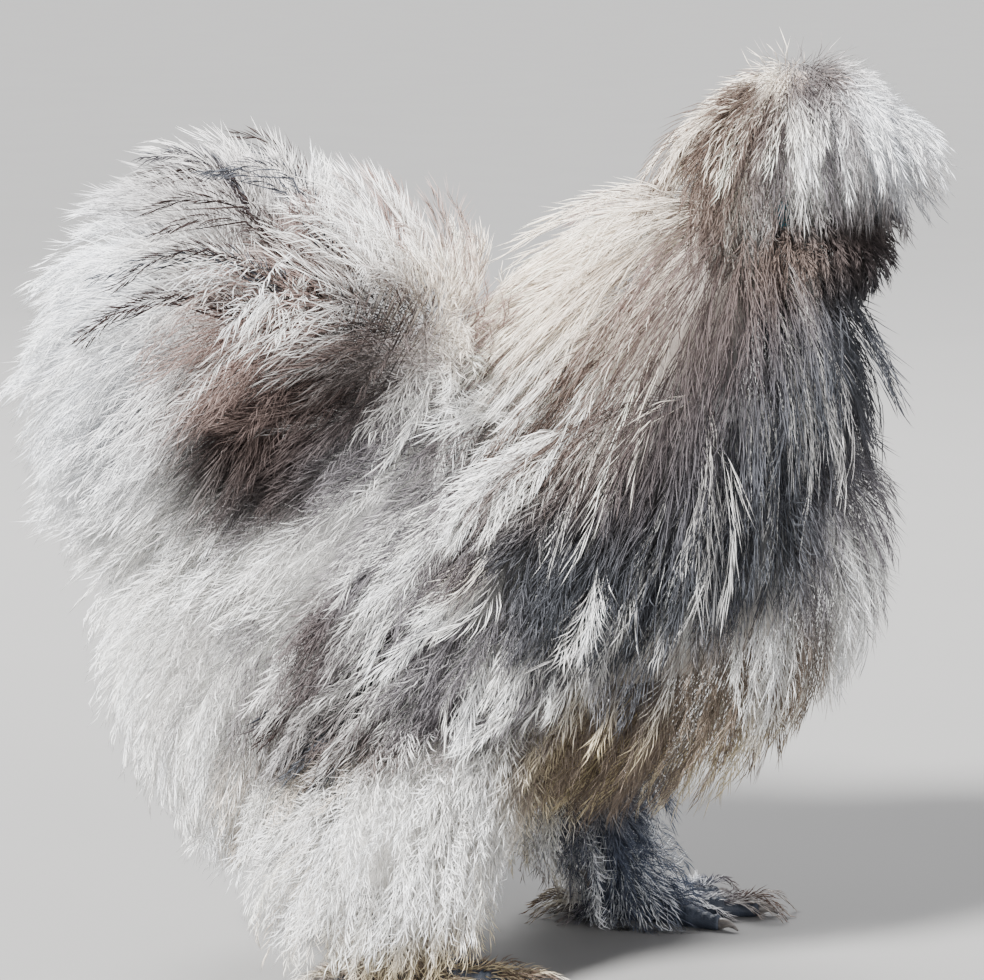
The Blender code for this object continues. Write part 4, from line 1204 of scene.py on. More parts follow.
@dataclass(frozen=True)
class FootFan:
    """Feathers that spread over some toes of one foot.

    Attributes:
        side: Which foot.
        swings: For each toe, how far the feathers may swing out from it, in degrees.
        count: How many on each toe.
        length: Their length.
        arch: How high they rise midway.
        cut: How they are made.
        seed: Where its chance starts.
        reaches: The least and most that one feather's length is, as a share of that length.
        arches: The same for how high it rises.
        height: How high they leave the foot.
        fall: How much lower their tips are.
        depth: How deep their roots are.
    """

    side: Side
    swings: dict[str, Span]
    count: int
    length: float
    arch: float
    cut: Cut
    seed: int
    reaches: Span = (0.75, 1.1)
    arches: Span = (0.6, 1.5)
    height: float = 5.0
    fall: float = 3.6
    depth: float = 2.5

    def grow(self, chart: Chart) -> Feathers:
        """The feathers as arrays, with their places on the part's chart.

        Args:
            chart: The part's place on the unwrap.

        Returns:
            The feathers.
        """
        rng = np.random.default_rng(self.seed)
        ankle = np.array((*ANKLES[self.side][:2], 0.0))
        ways, across, shares, turns = [], [], [], []
        for toe in TOES:
            if toe.name not in self.swings:
                continue
            low, high = self.swings[toe.name]
            for k in range(self.count):
                share = (k + rng.random()) / self.count
                bearing = math.radians(self.side.value * (toe.heading + rng.uniform(low, high)))
                heading = math.radians(self.side.value * toe.heading)
                along = np.array((math.cos(heading), math.sin(heading), 0)) * toe.length * (share * 0.95 - 0.05)
                ahead = np.array((math.cos(bearing), math.sin(bearing), 0))
                reach = self.length * rng.uniform(*self.reaches)
                u = np.linspace(0, 1, STEPS + 1)
                way = ankle + along + ahead * (u * reach)[:, None]
                way[:, 2] = self.height + self.arch * rng.uniform(*self.arches) * 4 * u * (1 - u) - self.fall * u
                ways.append(way)
                across.append((-ahead[1], ahead[0], 0.15))
                shares.append(share)
                turns.append(bearing + 2 * toe.heading)
        ways = np.array(ways)
        roots = ways[:, 0] - np.array((0, 0, self.depth))
        spots = chart.spots(np.array(shares), np.array(turns))
        return Feathers(roots, ways, unit(np.array(across)), spots, rng.random(len(ways)))


CREST_CUT = Cut(barbs=24, barb=16, fine=0.41, spread=22, fluff=0.8, wobble=0.32)
HACKLE_CUT = Cut(barbs=15, barb=26, fine=0.42, spread=12, fluff=0.7, bends=2, wobble=0.17, droop=0.06)
BODY_CUT = Cut(barbs=27, barb=18, fine=0.43, spread=26, fluff=0.85, start=-0.05, wobble=0.42)
TAIL_CUT = Cut(shaft=0.5, barbs=28, barb=22, fine=0.42, spread=22, fluff=0.75, start=-0.05, wobble=0.32)
WING_CUT = Cut(barbs=28, barb=19, fine=0.43, spread=22, fluff=0.7, wobble=0.42)
LEG_CUT = Cut(barbs=26, barb=14, fine=0.42, spread=38, fluff=1.0, start=-0.05, wobble=0.62)
FOOT_CUT = Cut(shaft=0.7, barbs=18, barb=9, fine=0.6, spread=34, fluff=0.35, start=0.05, wobble=0.25, droop=0.05)
FACE_CUT = Cut(shaft=0.45, barbs=8, barb=4.5, fine=0.4, spread=28, fluff=0.5, start=0.1, wobble=0.25, droop=0.05)
FLIGHT_CUT = Cut(shaft=1.3, barbs=60, barb=13, fine=0.7, spread=30, fluff=0.12, start=0.1, wobble=0.14, droop=0.02)
SICKLE_CUT = Cut(shaft=1.1, barbs=64, barb=15, fine=0.6, spread=24, fluff=0.3, start=0.1, wobble=0.2, droop=0.08)

COATS: tuple[Coat, ...] = (
    Coat(
        "coat_crest", "crest", ("crest",), CREST, (124, 0, 374),
        (
            ((122, 0, 360), 21, 2, -14), ((143, 0, 352), 42, 34, -16), ((155, 0, 334), 46, 80, 44),
            ((146, 20, 336), 47, 52, 0),
            ((122, 28, 338), 53, 38, -5), ((97, 0, 328), 70, 44, 10), ((104, 18, 326), 64, 38, 4),
        ),
        3.4, CREST_CUT, droop=0.4, gather=0.35, seed=11,
    ),
    Coat(
        "coat_beard", "beard", ("beard",), BEARD, (128, 0, 322),
        (
            ((146, 0, 280), 22, 26, -10), ((140, 20, 285), 24, 34, -5), ((124, 29, 286), 28, 42, 5),
            ((118, 0, 273), 32, 30, 10),
        ),
        4.4, replace(CREST_CUT, barb=11), droop=0.25, gather=0.25, seed=12,
    ),
    Coat(
        "coat_face", "beard", ("head",), SKULL, (158, 0, 312),
        (((130, 18, 311), 9, 24, 8), ((110, 14, 310), 12, 22, 8), ((140, 10, 300), 7, 24, 8)),
        2.7, FACE_CUT, droop=0.1, gather=0.2, seed=10, streak=3.0, run=20.0,
        bare=(
            (EYE_CENTRE, 8.2), ((121, 17.6, 302), 7.5), ((149, 0, 315.5), 12.5), ((154, 0, 304), 9.0),
            ((140, 11, 301), 4.5),
        ),
    ),
    Coat(
        "coat_hackle", "hackle", ("neck",), NECK, (122, 0, 352),
        (
            ((90, 0, 314), 62, 50, 12), ((66, 0, 296), 80, 16, -2), ((44, 0, 280), 84, 13, -2),
            ((102, 34, 288), 96, 34, 8),
            ((78, 56, 245), 110, 30, -2), ((120, 15, 270), 76, 42, 8), ((128, 0, 235), 64, 36, 8),
            ((90, 54, 215), 100, 30, -4), ((60, 50, 200), 100, 28, -6),
        ),
        5.2, HACKLE_CUT, droop=0.14, gather=0.55, seed=13, halves=True, streak=8.0, run=110.0, lock=5,
    ),
    Coat(
        "coat_body", "body_plumage", ("torso",), TORSO, (150, 0, 330),
        (
            ((142, 0, 200), 44, 36, 8), ((112, 45, 190), 50, 34, 8), ((80, 30, 105), 60, 38, 20),
            ((40, 0, 96), 60, 46, 30), ((-20, 45, 115), 54, 34, 12), ((0, 0, 245), 56, 34, 12),
            ((-60, 60, 180), 56, 34, 10),
        ),
        8.6, BODY_CUT, droop=0.25, gather=0.4, seed=14, halves=True,
    ),
    Coat(
        "coat_abdomen", "body_plumage", ("abdomen",), ABDOMEN, (-40, 0, 225),
        (
            ((-108, 0, 80), 58, 32, 12), ((-120, 0, 140), 60, 42, 12), ((-104, 0, 172), 60, 48, 14),
            ((-90, 52, 120), 56, 38, 10), ((-60, 0, 76), 50, 38, 20),
        ),
        7.0, BODY_CUT, droop=0.4, gather=0.35, seed=15,
    ),
    Coat(
        "coat_cushion", "cushion_plumage", ("cushion",), CUSHION, (20, 0, 262),
        (
            ((-42, 0, 280), 64, 64, 30), ((-64, 0, 274), 66, 56, 20), ((-50, 50, 250), 66, 42, 4),
            ((-12, 20, 260), 58, 54, 24),
        ),
        5.9, TAIL_CUT, droop=0.25, gather=0.5, seed=16, streak=18.0, run=80.0,
    ),
    Coat(
        "coat_tail", "tail_plumage", ("tail",), TAIL, (-38, 0, 276),
        (
            ((-78, 0, 285), 60, 76, 40), ((-98, 0, 291), 58, 72, 34), ((-125, 0, 275), 62, 62, 20),
            ((-139, 0, 243), 62, 80, 46), ((-125, 0, 208), 66, 76, 50), ((-100, 45, 243), 70, 36, 0),
            ((-80, 20, 200), 60, 40, 5),
        ),
        5.15, TAIL_CUT, droop=0.5, gather=0.5, seed=17, halves=True, streak=18.0, run=80.0,
    ),
    *(
        Coat(
            f"coat_wing_{side.word}", "wing_plumage", (f"wing_{side.word}",), WING.on(side),
            (88, side.value * 54, 280),
            (
                ((85, 84, 220), 36, 8, 2), ((45, 92, 195), 46, 14, 4), ((0, 94, 165), 50, 26, 8),
                ((-40, 88, 140), 56, 22, 4), ((-10, 80, 135), 56, 20, 4),
            ),
            5.9, WING_CUT, droop=0.2, gather=0.6, sway=0.3, seed=18 + side.value, bare_side=-side.value,
            bare=(((94, 66, 224), 58),),
        )
        for side in Side
    ),
    *(
        Coat(
            f"coat_cape_{side.word}", "hackle", ("neck",), WING.on(side), (118, side.value * 54, 350),
            (
                ((96, 66, 226), 74, 0, -22), ((70, 88, 212), 74, -4, -29), ((45, 92, 195), 74, -4, -29),
                ((60, 88, 180), 62, -3, -29),
            ),
            5.4, HACKLE_CUT, droop=0.1, gather=0.55, sway=0.1, seed=41 + side.value,
            bare_side=-side.value, streak=8.0, run=90.0, lock=5, bare=(((-20, 86, 140), 84),),
        )
        for side in Side
    ),
    *(
        Coat(
            f"coat_thigh_{side.word}", "leg_plumage", (f"thigh_{side.word}",), THIGHS[side],
            (20, side.value * 20, 175),
            (
                ((10, 80, 130), 30, 24, 0), ((-20, 84, 104), 38, 40, 14), ((-40, 86, 74), 46, 58, 34),
                ((-62, 70, 66), 50, 62, 24), ((-43, 60, 38), 42, 62, 6), ((-10, 70, 66), 54, 60, 26),
            ),
            5.8, LEG_CUT, droop=0.35, gather=0.2, sway=0.5, seed=21 + side.value,
        )
        for side in Side
    ),
    *(
        Coat(
            f"coat_shank_{side.word}", "leg_plumage", (f"shank_{side.word}",), shank_loft(side, SHANK_RADIUS),
            (10, side.value * 20, 160),
            (((-35, 62, 24), 34, 58, 0), ((60, 58, 30), 44, 56, 10)),
            4.2, LEG_CUT, droop=0.25, gather=0.2, seed=24 + side.value,
        )
        for side in Side
    ),
)

# Dark, ragged flight feathers that hang below each wing, and long curved ones over the tail.
DARK_VANES = Markings((), Mark((0, 0, 0), (1, 1, 1), Hue.SLATE, Hue.UMBER, 0.55, 1.0))
SICKLE_TONES = Markings((), Mark((0, 0, 0), (1, 1, 1), Hue.SLATE, Hue.UMBER, 0.5, 1.0))
PRIMARIES = Spray(
    mirrored_curves((
        ((-24, 72, 140), (-46, 80, 122), (-72, 82, 96)),
        ((-20, 72, 134), (-42, 80, 114), (-62, 82, 88)),
        ((-30, 72, 146), (-54, 80, 130), (-82, 80, 108)),
    )),
    3, 3.0, FLIGHT_CUT, 31,
)
SICKLES = Spray(
    mirrored_curves((
        ((-56, 20, 262), (-84, 58, 330), (-128, 60, 306)),
        ((-60, 24, 258), (-96, 70, 312), (-142, 68, 284)),
        ((-50, 16, 266), (-64, 44, 336), (-100, 50, 322)),
        ((-66, 28, 252), (-110, 76, 292), (-152, 66, 258)),
        ((-70, 6, 266), (-90, 8, 334), (-132, 12, 318)),
    )),
    2, 4.0, SICKLE_CUT, 32,
)
FANS = {
    side: FootFan(side, {"middle": (-34, 34), "outer": (4, 46), "hind": (-40, 50)}, 26, 27.0, 5.0, FOOT_CUT,
                  41 + side.value)
    for side in Side
}


def object_of(name: str, bm: BMesh) -> Object:
    """Puts a bmesh, in millimetres in the bird's frame, into the scene as an object in metres, and frees it.

    Args:
        name: The object's name.
        bm: The shape.

    Returns:
        The object.
    """
    bm.transform(Matrix.Translation(Vector(SHIFT * MM)) @ Matrix.Scale(MM, 4))
    for vert in bm.verts:
        vert.co.z = max(vert.co.z, 0.0)
    return add_object(name, mesh_from(name, bm))


def horn_of(name: str, loft: OvalLoft, rows: int, sides: int, turn: Matrix | None = None) -> Object:
    """A loft as a smooth closed piece of its own.

    Args:
        name: The piece's name.
        loft: Its shape.
        rows: Faces along it.
        sides: Faces round it.
        turn: How it is turned and moved.

    Returns:
        The piece.
    """
    bm = bmesh.new()
    loft.lay(bm, rows, sides)
    bm.transform(turn or Matrix.Identity(4))
    bmesh.ops.recalc_face_normals(bm, faces=bm.faces)
    piece = object_of(name, bm)
    piece.data.shade_smooth()
    return piece


def settle(obj: Object) -> None:
    """Makes the evaluated mesh the object's own.

    Args:
        obj: The object, with modifiers.
    """
    bpy.context.view_layer.update()
    graph = bpy.context.evaluated_depsgraph_get()
    mesh = bpy.data.meshes.new_from_object(obj.evaluated_get(graph))
    obj.modifiers.clear()
    obj.data = mesh


def grown_together(obj: Object, voxel: float, rounds: int) -> Object:
    """Turns overlapping closed shapes into one smooth closed surface.

    Args:
        obj: The shapes.
        voxel: The size of the new faces, in millimetres.
        rounds: How often the surface is smoothed.

    Returns:
        The same object.
    """
    melt = obj.modifiers.new("melt", "REMESH")
    melt.mode = "VOXEL"
    melt.voxel_size = voxel * MM
    if rounds:
        soften = obj.modifiers.new("soften", "SMOOTH")
        soften.factor = 0.5
        soften.iterations = rounds
    settle(obj)
    return obj


def combine(body: Object, other: Object, operation: str) -> None:
    """Joins another closed shape to the body or cuts it out, and removes it.

    Args:
        body: What is changed.
        other: The other shape.
        operation: UNION or DIFFERENCE.
    """
    change = body.modifiers.new("combine", "BOOLEAN")
    change.operation = operation
    change.object = other
    change.solver = "MANIFOLD"
    settle(body)
    bpy.data.objects.remove(other, do_unlink=True)


def lay_ball(bm: BMesh, place: Sequence[float], radii: Sequence[float], turn: Matrix | None = None,
             fineness: int = 3) -> None:
    """Adds an ellipsoid.

    Args:
        bm: The mesh that gets it, in millimetres.
        place: Its middle.
        radii: Its half sizes.
        turn: How it is turned.
        fineness: Subdivisions of the icosahedron.
    """
    stretch = Matrix.Diagonal((*radii, 1))
    matrix = Matrix.Translation(Vector(place)) @ (turn or Matrix.Identity(4)) @ stretch
    bmesh.ops.create_icosphere(bm, subdivisions=fineness, radius=1.0, matrix=matrix)


def pour(part: BMesh, whole: BMesh) -> None:
    """Adds one bmesh to another, and frees it."""
    mesh = mesh_from("part", part)
    whole.from_mesh(mesh)
    bpy.data.meshes.remove(mesh)


def lay_hoop(bm: BMesh, place: Sequence[float], outward: Vector, reach: float, thick: float,
             squash: float = 1.0) -> None:
    """Adds a ring of skin round a place.

    Args:
        bm: The mesh that gets it, in millimetres.
        place: Its middle.
        outward: The direction it faces.
        reach: Its radius.
        thick: The radius of the roll.
        squash: Its height over its length.
    """
    own = bmesh.new()
    upright = Matrix.Translation((reach, 0, 0)) @ Matrix.Rotation(math.pi / 2, 4, "X")
    bmesh.ops.create_circle(own, segments=10, radius=thick, matrix=upright)
    spin_closed(own, 28)
    own.transform(Matrix.Translation(Vector(place)) @ turn_to(outward) @ Matrix.Diagonal((squash, 1, 1, 1)))
    pour(own, bm)


@dataclass
class Head:
    """The bare head: skull, comb, lids, brows, ear lobes, gape, and sockets for the eyes.

    Attributes:
        comb_centre: The middle of the comb.
        comb_rings: For each ring of bulbs, its radius, their count and how high they stand.
        bulb: The radius of a bulb.
        knob: The radius of the knobs on it.
        knobs: How many there are on each.
        lobe: The middle of the left ear lobe.
        lobe_radii: Its half sizes.
        lid: The radius of the lid's roll.
        socket_gap: The air between eyeball and socket.
        voxel: The size of the skin's faces.
        seed: Where its chance starts.
    """

    comb_centre: Place = (149.0, 0, 315.5)
    comb_rings: tuple[tuple[float, int, float], ...] = ((0, 1, 4.5), (4.6, 4, 2.5), (7.4, 5, -1.0))
    bulb: float = 3.9
    knob: float = 1.5
    knobs: int = 7
    lobe: Place = (121, 17.6, 302)
    lobe_radii: Place = (4.8, 2.8, 6.2)
    lid: float = 1.3
    socket_gap: float = 0.12
    voxel: float = 0.7
    seed: int = 51

    def lay_comb(self, bm: BMesh) -> None:
        """Adds the comb: rings of bulbs, each with small knobs on it."""
        rng = np.random.default_rng(self.seed)
        for reach, count, rise in self.comb_rings:
            for k in range(count):
                a = 2 * math.pi * (k + 0.3) / count
                place = np.array((
                    self.comb_centre[0] + 0.6 * reach * math.cos(a),
                    reach * math.sin(a),
                    self.comb_centre[2] + rise - 0.4 * reach * math.cos(a),
                ))
                lay_ball(bm, place, [self.bulb * (1 + 0.12 * math.sin(5 * k + reach))] * 3)
                for _ in range(self.knobs):
                    way = unit(rng.normal(0, 1, 3) + (0.5, 0, 0.7))
                    lay_ball(bm, place + way * (self.bulb - 0.4), [self.knob * rng.uniform(0.7, 1.2)] * 3, fineness=2)

    def lay_side(self, bm: BMesh, side: Side) -> None:
        """Adds what one side of the face has.

        Args:
            bm: The mesh that gets it, in millimetres.
            side: Which side.
        """
        s = side.value
        outward = eye_gaze(side)
        eye = Vector(eye_place(side))
        lay_hoop(bm, eye + outward * 3.3, outward, EYE_RADIUS * 0.88, self.lid, squash=0.96)
        lay_hoop(bm, eye + outward * 2.1, outward, EYE_RADIUS * 1.3, 0.75, squash=1.02)
        lay_ball(bm, eye + Vector((-1.0, s * 2.0, 5.6)), (6.5, 2.4, 1.9))
        lay_ball(bm, (self.lobe[0], s * self.lobe[1], self.lobe[2]), self.lobe_radii)
        lay_ball(bm, (self.lobe[0] + 1.5, s * (self.lobe[1] + 1.2), self.lobe[2] - 2.5), (2.6, 1.8, 3.4))
        for k in range(5):
            lay_ball(bm, (146.5 - 3.6 * k, s * (7.6 + 1.3 * k), 300.6 - 1.0 * k), (2.6, 1.5, 1.0))
        for k in range(4):
            lay_ball(bm, (145.0 - 4.0 * k, s * (7.2 + 1.5 * k), 296.4 - 0.8 * k), (3.0, 1.9, 1.7))

    def build(self) -> Object:
        """The head as one closed surface with eye sockets."""
        bm = bmesh.new()
        SKULL.lay(bm, 26, 36)
        NAPE.lay(bm, 10, 24)
        self.lay_comb(bm)
        for side in Side:
            self.lay_side(bm, side)
        head = grown_together(object_of("head_skin", bm), self.voxel, 2)
        for side in Side:
            socket = bmesh.new()
            lay_ball(socket, eye_place(side), [EYE_RADIUS + self.socket_gap] * 3, fineness=4)
            combine(head, object_of("socket", socket), "DIFFERENCE")
        return head


@dataclass
class Foot:
    """A bare foot: sole, toes with pads and scutes, and its claws as pieces of their own.

    Attributes:
        side: Which foot.
        sole: The radius of its middle.
        scute: The space between the scutes of a toe.
        shin_scutes: How many there are up the shin.
        voxel: The size of the skin's faces.
    """

    side: Side
    sole: float = 9.0
    scute: float = 2.9
    shin_scutes: int = 14
    voxel: float = 0.7

    def turn(self, toe: Toe) -> Matrix:
        """From a toe along +X at the origin to its place."""
        ankle = ANKLES[self.side]
        return Matrix.Translation((ankle[0], ankle[1], 0)) @ Matrix.Rotation(
            math.radians(self.side.value * toe.heading), 4, "Z")

    def rings(self, toe: Toe) -> tuple[Ring, ...]:
        """The toe along +X with a swelling at each of its joints."""
        rows = []
        for share, swell in TOE_SWELLS:
            radius = TOE_RADIUS * swell
            height = radius * 0.8 + toe.rise * share**1.5 + (3 if toe.rise else 0)
            pitch = math.degrees(math.atan2(1.5 * toe.rise * share**0.5, toe.length))
            rows.append((toe.length * share, 0, height, radius, radius, pitch))
        return tuple(rows)

    def build(self) -> Object:
        """The foot as one closed surface."""
        bm = bmesh.new()
        ankle = ANKLES[self.side]
        lay_ball(bm, (ankle[0], ankle[1], 6), (self.sole, self.sole, 9))
        for toe in TOES:
            own = bmesh.new()
            loft = OvalLoft(self.rings(toe), pole_share=0.55)
            loft.lay(own, 22, 14)
            count = int(toe.length / self.scute)
            shares = (np.arange(count) + 0.5) / count
            centre, wide, deep, _ = loft.section(shares)
            for place, half, high in zip(centre, wide, deep):
                lay_ball(own, place + (0, 0, high * 0.8), (self.scute * 0.55, half * 0.7, 1.5), fineness=2)
            own.transform(self.turn(toe))
            pour(own, bm)
        hock, low = np.array(HOCKS[self.side]), np.array(ankle)
        for k in range(self.shin_scutes):
            place = low + (hock - low) * (k + 1) / (self.shin_scutes + 1) + (SHANK_RADIUS * 0.8, 0, 1)
            lay_ball(bm, place, (2.0, 4.4, 1.7), fineness=2)
        shank_loft(self.side, SHANK_RADIUS).lay(bm, 20, 20)
        return grown_together(object_of("foot_skin", bm), self.voxel, 0)

    def claw(self, toe: Toe) -> Object:
        """The claw on a toe: a curved horn that ends in a blunt point.

        Args:
            toe: The toe.

        Returns:
            The claw.
        """
        x, _, z, radius, _, pitch = self.rings(toe)[-1]
        lean = math.radians(pitch)
        rows = []
        for share in (0, 0.25, 0.5, 0.75, 0.92, 1):
            thick = radius * (0.86 - 0.74 * share)
            reach = 0.3 + CLAW_LENGTH * share
            drop = 0 if toe.rise else (z - 0.95) * share**1.4
            height = z + reach * math.sin(lean) + 1.2 * math.sin(math.pi * share) - drop
            rows.append((x + reach * math.cos(lean), 0, height, 0.8 * thick, thick, pitch + 12 * share - 33 * share))
        loft = OvalLoft(tuple(rows), pole_share=0.5)
        return horn_of(f"nail_{toe.name}_{self.side.word}", loft, 14, 16, self.turn(toe))


@dataclass
class Body:
    """The bird's bare body as one closed skin with the head and feet.

    Attributes:
        torso: How far the torso's flesh is drawn in, across and in depth.
        limbs: The same for the abdomen and the thighs.
        voxel: The size of the skin's faces.
        bare_shin: Up to this height the leg has its own colour.
        shin_edge: How softly that ends.
        foot_reach: How far from the ankle the foot reaches.
    """

    torso: Span = (0.78, 0.8)
    limbs: Span = (0.6, 0.6)
    voxel: float = 2.6
    bare_shin: float = 46.0
    shin_edge: float = 10.0
    foot_reach: float = 70.0

    def build(self) -> Object:
        """The skin."""
        bm = bmesh.new()
        TORSO.shrunk(*self.torso).lay(bm, 40, 40)
        BARE_NECK.lay(bm, 20, 24)
        ABDOMEN.shrunk(*self.limbs).lay(bm, 20, 24)
        BARE_RUMP.lay(bm, 16, 24)
        for side in Side:
            THIGHS[side].shrunk(*self.limbs).lay(bm, 20, 20)
            BARE_WING.on(side).lay(bm, 20, 20)
        skin = grown_together(object_of("skin", bm), self.voxel, 6)
        combine(skin, Head().build(), "UNION")
        for side in Side:
            combine(skin, Foot(side).build(), "UNION")
        self.stand(skin)
        skin.data.shade_smooth()
        return skin

    def stand(self, skin: Object) -> None:
        """Flattens the soles on the floor.

        Args:
            skin: The skin.
        """
        places = vertex_places(skin.data)
        places[:, 2] = np.maximum(places[:, 2], 0)
        skin.data.vertices.foreach_set("co", places.ravel())
        skin.data.update()

    def colour(self, skin: Object) -> None:
        """Gives the skin the coat's markings, painted shade included, and its own colours on face, comb, lobes and
        legs.

        Args:
            skin: The skin.
        """
        places = own_frame(vertex_places(skin.data))
        spots = folded(places)
        # The markings bring their painted shade onto the skin as well.
        light, dark, share = SPLASH_AND_SHADE.at(places)
        tones = light * (1 - share[:, None]) + dark * share[:, None]

        def cover(colour: str, centre: Place, radii: Place, edge: float) -> None:
            """Paints what lies inside an ellipsoid, with a soft edge."""
            off = np.linalg.norm((spots - centre) / radii, axis=-1)
            amount = np.clip((1 - off) / edge + 0.5, 0, 1)[:, None]
            tones[:] = tones * (1 - amount) + np.array(linear(colour)) * amount

        cover(Hue.FACE, (132, 0, 306), (28, 26, 24), 0.2)
        cover(Hue.COMB, Head.comb_centre, (9, 12, 9), 0.15)
        cover(Hue.LOBE, Head.lobe, (6.5, 6, 8), 0.2)
        for side in Side:
            ankle = ANKLES[side]
            near = np.hypot(places[:, 0] - ankle[0], places[:, 1] - ankle[1]) < self.foot_reach
            bare = near & (np.sign(places[:, 1]) == side.value)
            leg = np.clip((self.bare_shin - places[:, 2]) / self.shin_edge, 0, 1) * bare
            tones[:] = tones * (1 - leg[:, None]) + np.array(linear(Hue.SHANK)) * leg[:, None]
        lay_colours(skin.data, "skin_colour", tones)


@dataclass
class Beak:
    """The two halves of the horn beak, with a nostril pit on each side of the upper half."""

    nostril: Place = (154.5, 4.6, 308.0)

    def build(self) -> tuple[Object, Object]:
        """Upper and lower beak."""
        upper = horn_of("horn_upper", UPPER_BEAK, 30, 32)
        for side in Side:
            pit = bmesh.new()
            place = (self.nostril[0], side.value * self.nostril[1], self.nostril[2])
            lay_ball(pit, place, (1.9, 1.3, 0.8), Matrix.Rotation(0.3, 4, "Y"))
            combine(upper, object_of("pit", pit), "DIFFERENCE")
        upper.data.shade_smooth()
        return upper, horn_of("horn_lower", LOWER_BEAK, 20, 28)


# Where the cornea starts on the eyeball, as a share of its radius, and how far it rises for each such share.
CORNEA_EDGE = 0.72
CORNEA_RISE = 1.6


def build_eye(side: Side) -> Object:
    """An eyeball with a cornea that stands slightly proud.

    Args:
        side: Which eye.

    Returns:
        The eyeball.
    """
    bm = bmesh.new()
    lay_ball(bm, (0, 0, 0), [EYE_RADIUS] * 3, fineness=5)
    for vert in bm.verts:
        vert.co.z += CORNEA_RISE * max(0.0, vert.co.z / EYE_RADIUS - CORNEA_EDGE)
    bm.transform(Matrix.Translation(eye_place(side)) @ turn_to(eye_gaze(side)))
    eye = object_of(f"eyeball_{side.word}", bm)
    eye.data.shade_smooth()
    return eye


def add_node(tree: NodeTree, kind: str, links: dict | None = None, values: dict | None = None,
             **settings: object) -> Node:
    """Adds a node with its settings and links.

    Args:
        tree: The material's nodes.
        kind: The node's type.
        links: For each input, the output that feeds it.
        values: For each input, its value.
        settings: The node's own settings.

    Returns:
        The node.
    """
    made = tree.nodes.new(kind)
    for key, value in settings.items():
        setattr(made, key, value)
    for key, value in (values or {}).items():
        made.inputs[key].default_value = value
    for key, output in (links or {}).items():
        tree.links.new(output, made.inputs[key])
    return made


def blank(name: str) -> tuple[Material, NodeTree, Node]:
    """A new material with only its shader and output.

    Args:
        name: What the material is.

    Returns:
        The material, its nodes and its shader.
    """
    material = bpy.data.materials.new(name)
    material.use_nodes = True
    tree = material.node_tree
    return material, tree, tree.nodes["Principled BSDF"]


def stretched(tree: NodeTree, noise: NodeSocket, low: float, high: float, start: float = 0.3,
              end: float = 0.7) -> NodeSocket:
    """A noise that runs from start to end, made to run from low to high."""
    return add_node(tree, "ShaderNodeMapRange", {"Value": noise},
                    {"From Min": start, "From Max": end, "To Min": low, "To Max": high}).outputs["Result"]


def stained(tree: NodeTree, value: NodeSocket, stops: Sequence[tuple[float, str]]) -> NodeSocket:
    """A colour that runs through some stops as a value rises.

    Args:
        tree: The material's nodes.
        value: The value, from 0 to 1.
        stops: Where each colour is reached, in order.

    Returns:
        The colour.
    """
    ramp = add_node(tree, "ShaderNodeValToRGB", {"Fac": value})
    first, last = ramp.color_ramp.elements
    last.position, first.position = stops[-1][0], stops[0][0]
    last.color, first.color = (*linear(stops[-1][1]), 1), (*linear(stops[0][1]), 1)
    for place, colour in stops[1:-1]:
        ramp.color_ramp.elements.new(place).color = (*linear(colour), 1)
    return ramp.outputs["Color"]


def own_places(tree: NodeTree) -> NodeSocket:
    """Places in the object's own frame."""
    return add_node(tree, "ShaderNodeTexCoord").outputs["Object"]


def grain(tree: NodeTree, places: NodeSocket, size: float, detail: float, roughness: float = 0.5) -> NodeSocket:
    """Soft noise with specks of that size in metres, and with finer layers as strong as the roughness."""
    return add_node(tree, "ShaderNodeTexNoise", {"Vector": places},
                    {"Scale": 1 / size, "Detail": detail, "Roughness": roughness}).outputs["Fac"]


def tint(tree: NodeTree, shader: Node, tone: NodeSocket | Sequence[float], gain: NodeSocket) -> None:
    """Colours the shader with a tone, lighter or darker by a gain.

    Args:
        tree: The material's nodes.
        shader: The shader.
        tone: A socket or a plain colour.
        gain: How much lighter.
    """
    fixed = isinstance(tone, Sequence)
    mixed = add_node(tree, "ShaderNodeVectorMath", {"Scale": gain} if fixed else {0: tone, "Scale": gain},
                     {0: tone} if fixed else None, operation="SCALE")
    tree.links.new(mixed.outputs["Vector"], shader.inputs["Base Color"])


def emboss(tree: NodeTree, shader: Node, height: NodeSocket, strength: float, **settings: bool) -> None:
    """Gives the shader a fine relief that follows a height."""
    bump = add_node(tree, "ShaderNodeBump", {"Height": height}, {"Strength": strength, "Distance": RELIEF},
                    **settings)
    tree.links.new(bump.outputs["Normal"], shader.inputs["Normal"])


def set_shader(shader: Node, **values: float) -> None:
    """Sets the shader's own sockets; an underscore in a name is a space."""
    for key, value in values.items():
        shader.inputs[key.replace("_", " ")].default_value = value


@dataclass(frozen=True)
class PlumeFinish:
    """Loose feather barbs, washed and dried: keratin threads without hooks, matt and soft."""

    name: str = "loose silkie barbs"
    fleck_mm: float = 2.2
    shades: Span = (0.88, 1.06)
    roughness: float = 0.68

    def make(self) -> Material:
        """The material: the colours of the pattern with small flecks."""
        material, tree, shader = blank(self.name)
        tone = add_node(tree, "ShaderNodeAttribute", attribute_name="coat_colour")
        fleck = grain(tree, own_places(tree), self.fleck_mm * MM, 3.0, 0.6)
        tint(tree, shader, tone.outputs["Color"], stretched(tree, fleck, *self.shades))
        set_shader(shader, Roughness=self.roughness, Specular_IOR_Level=0.15)
        return material


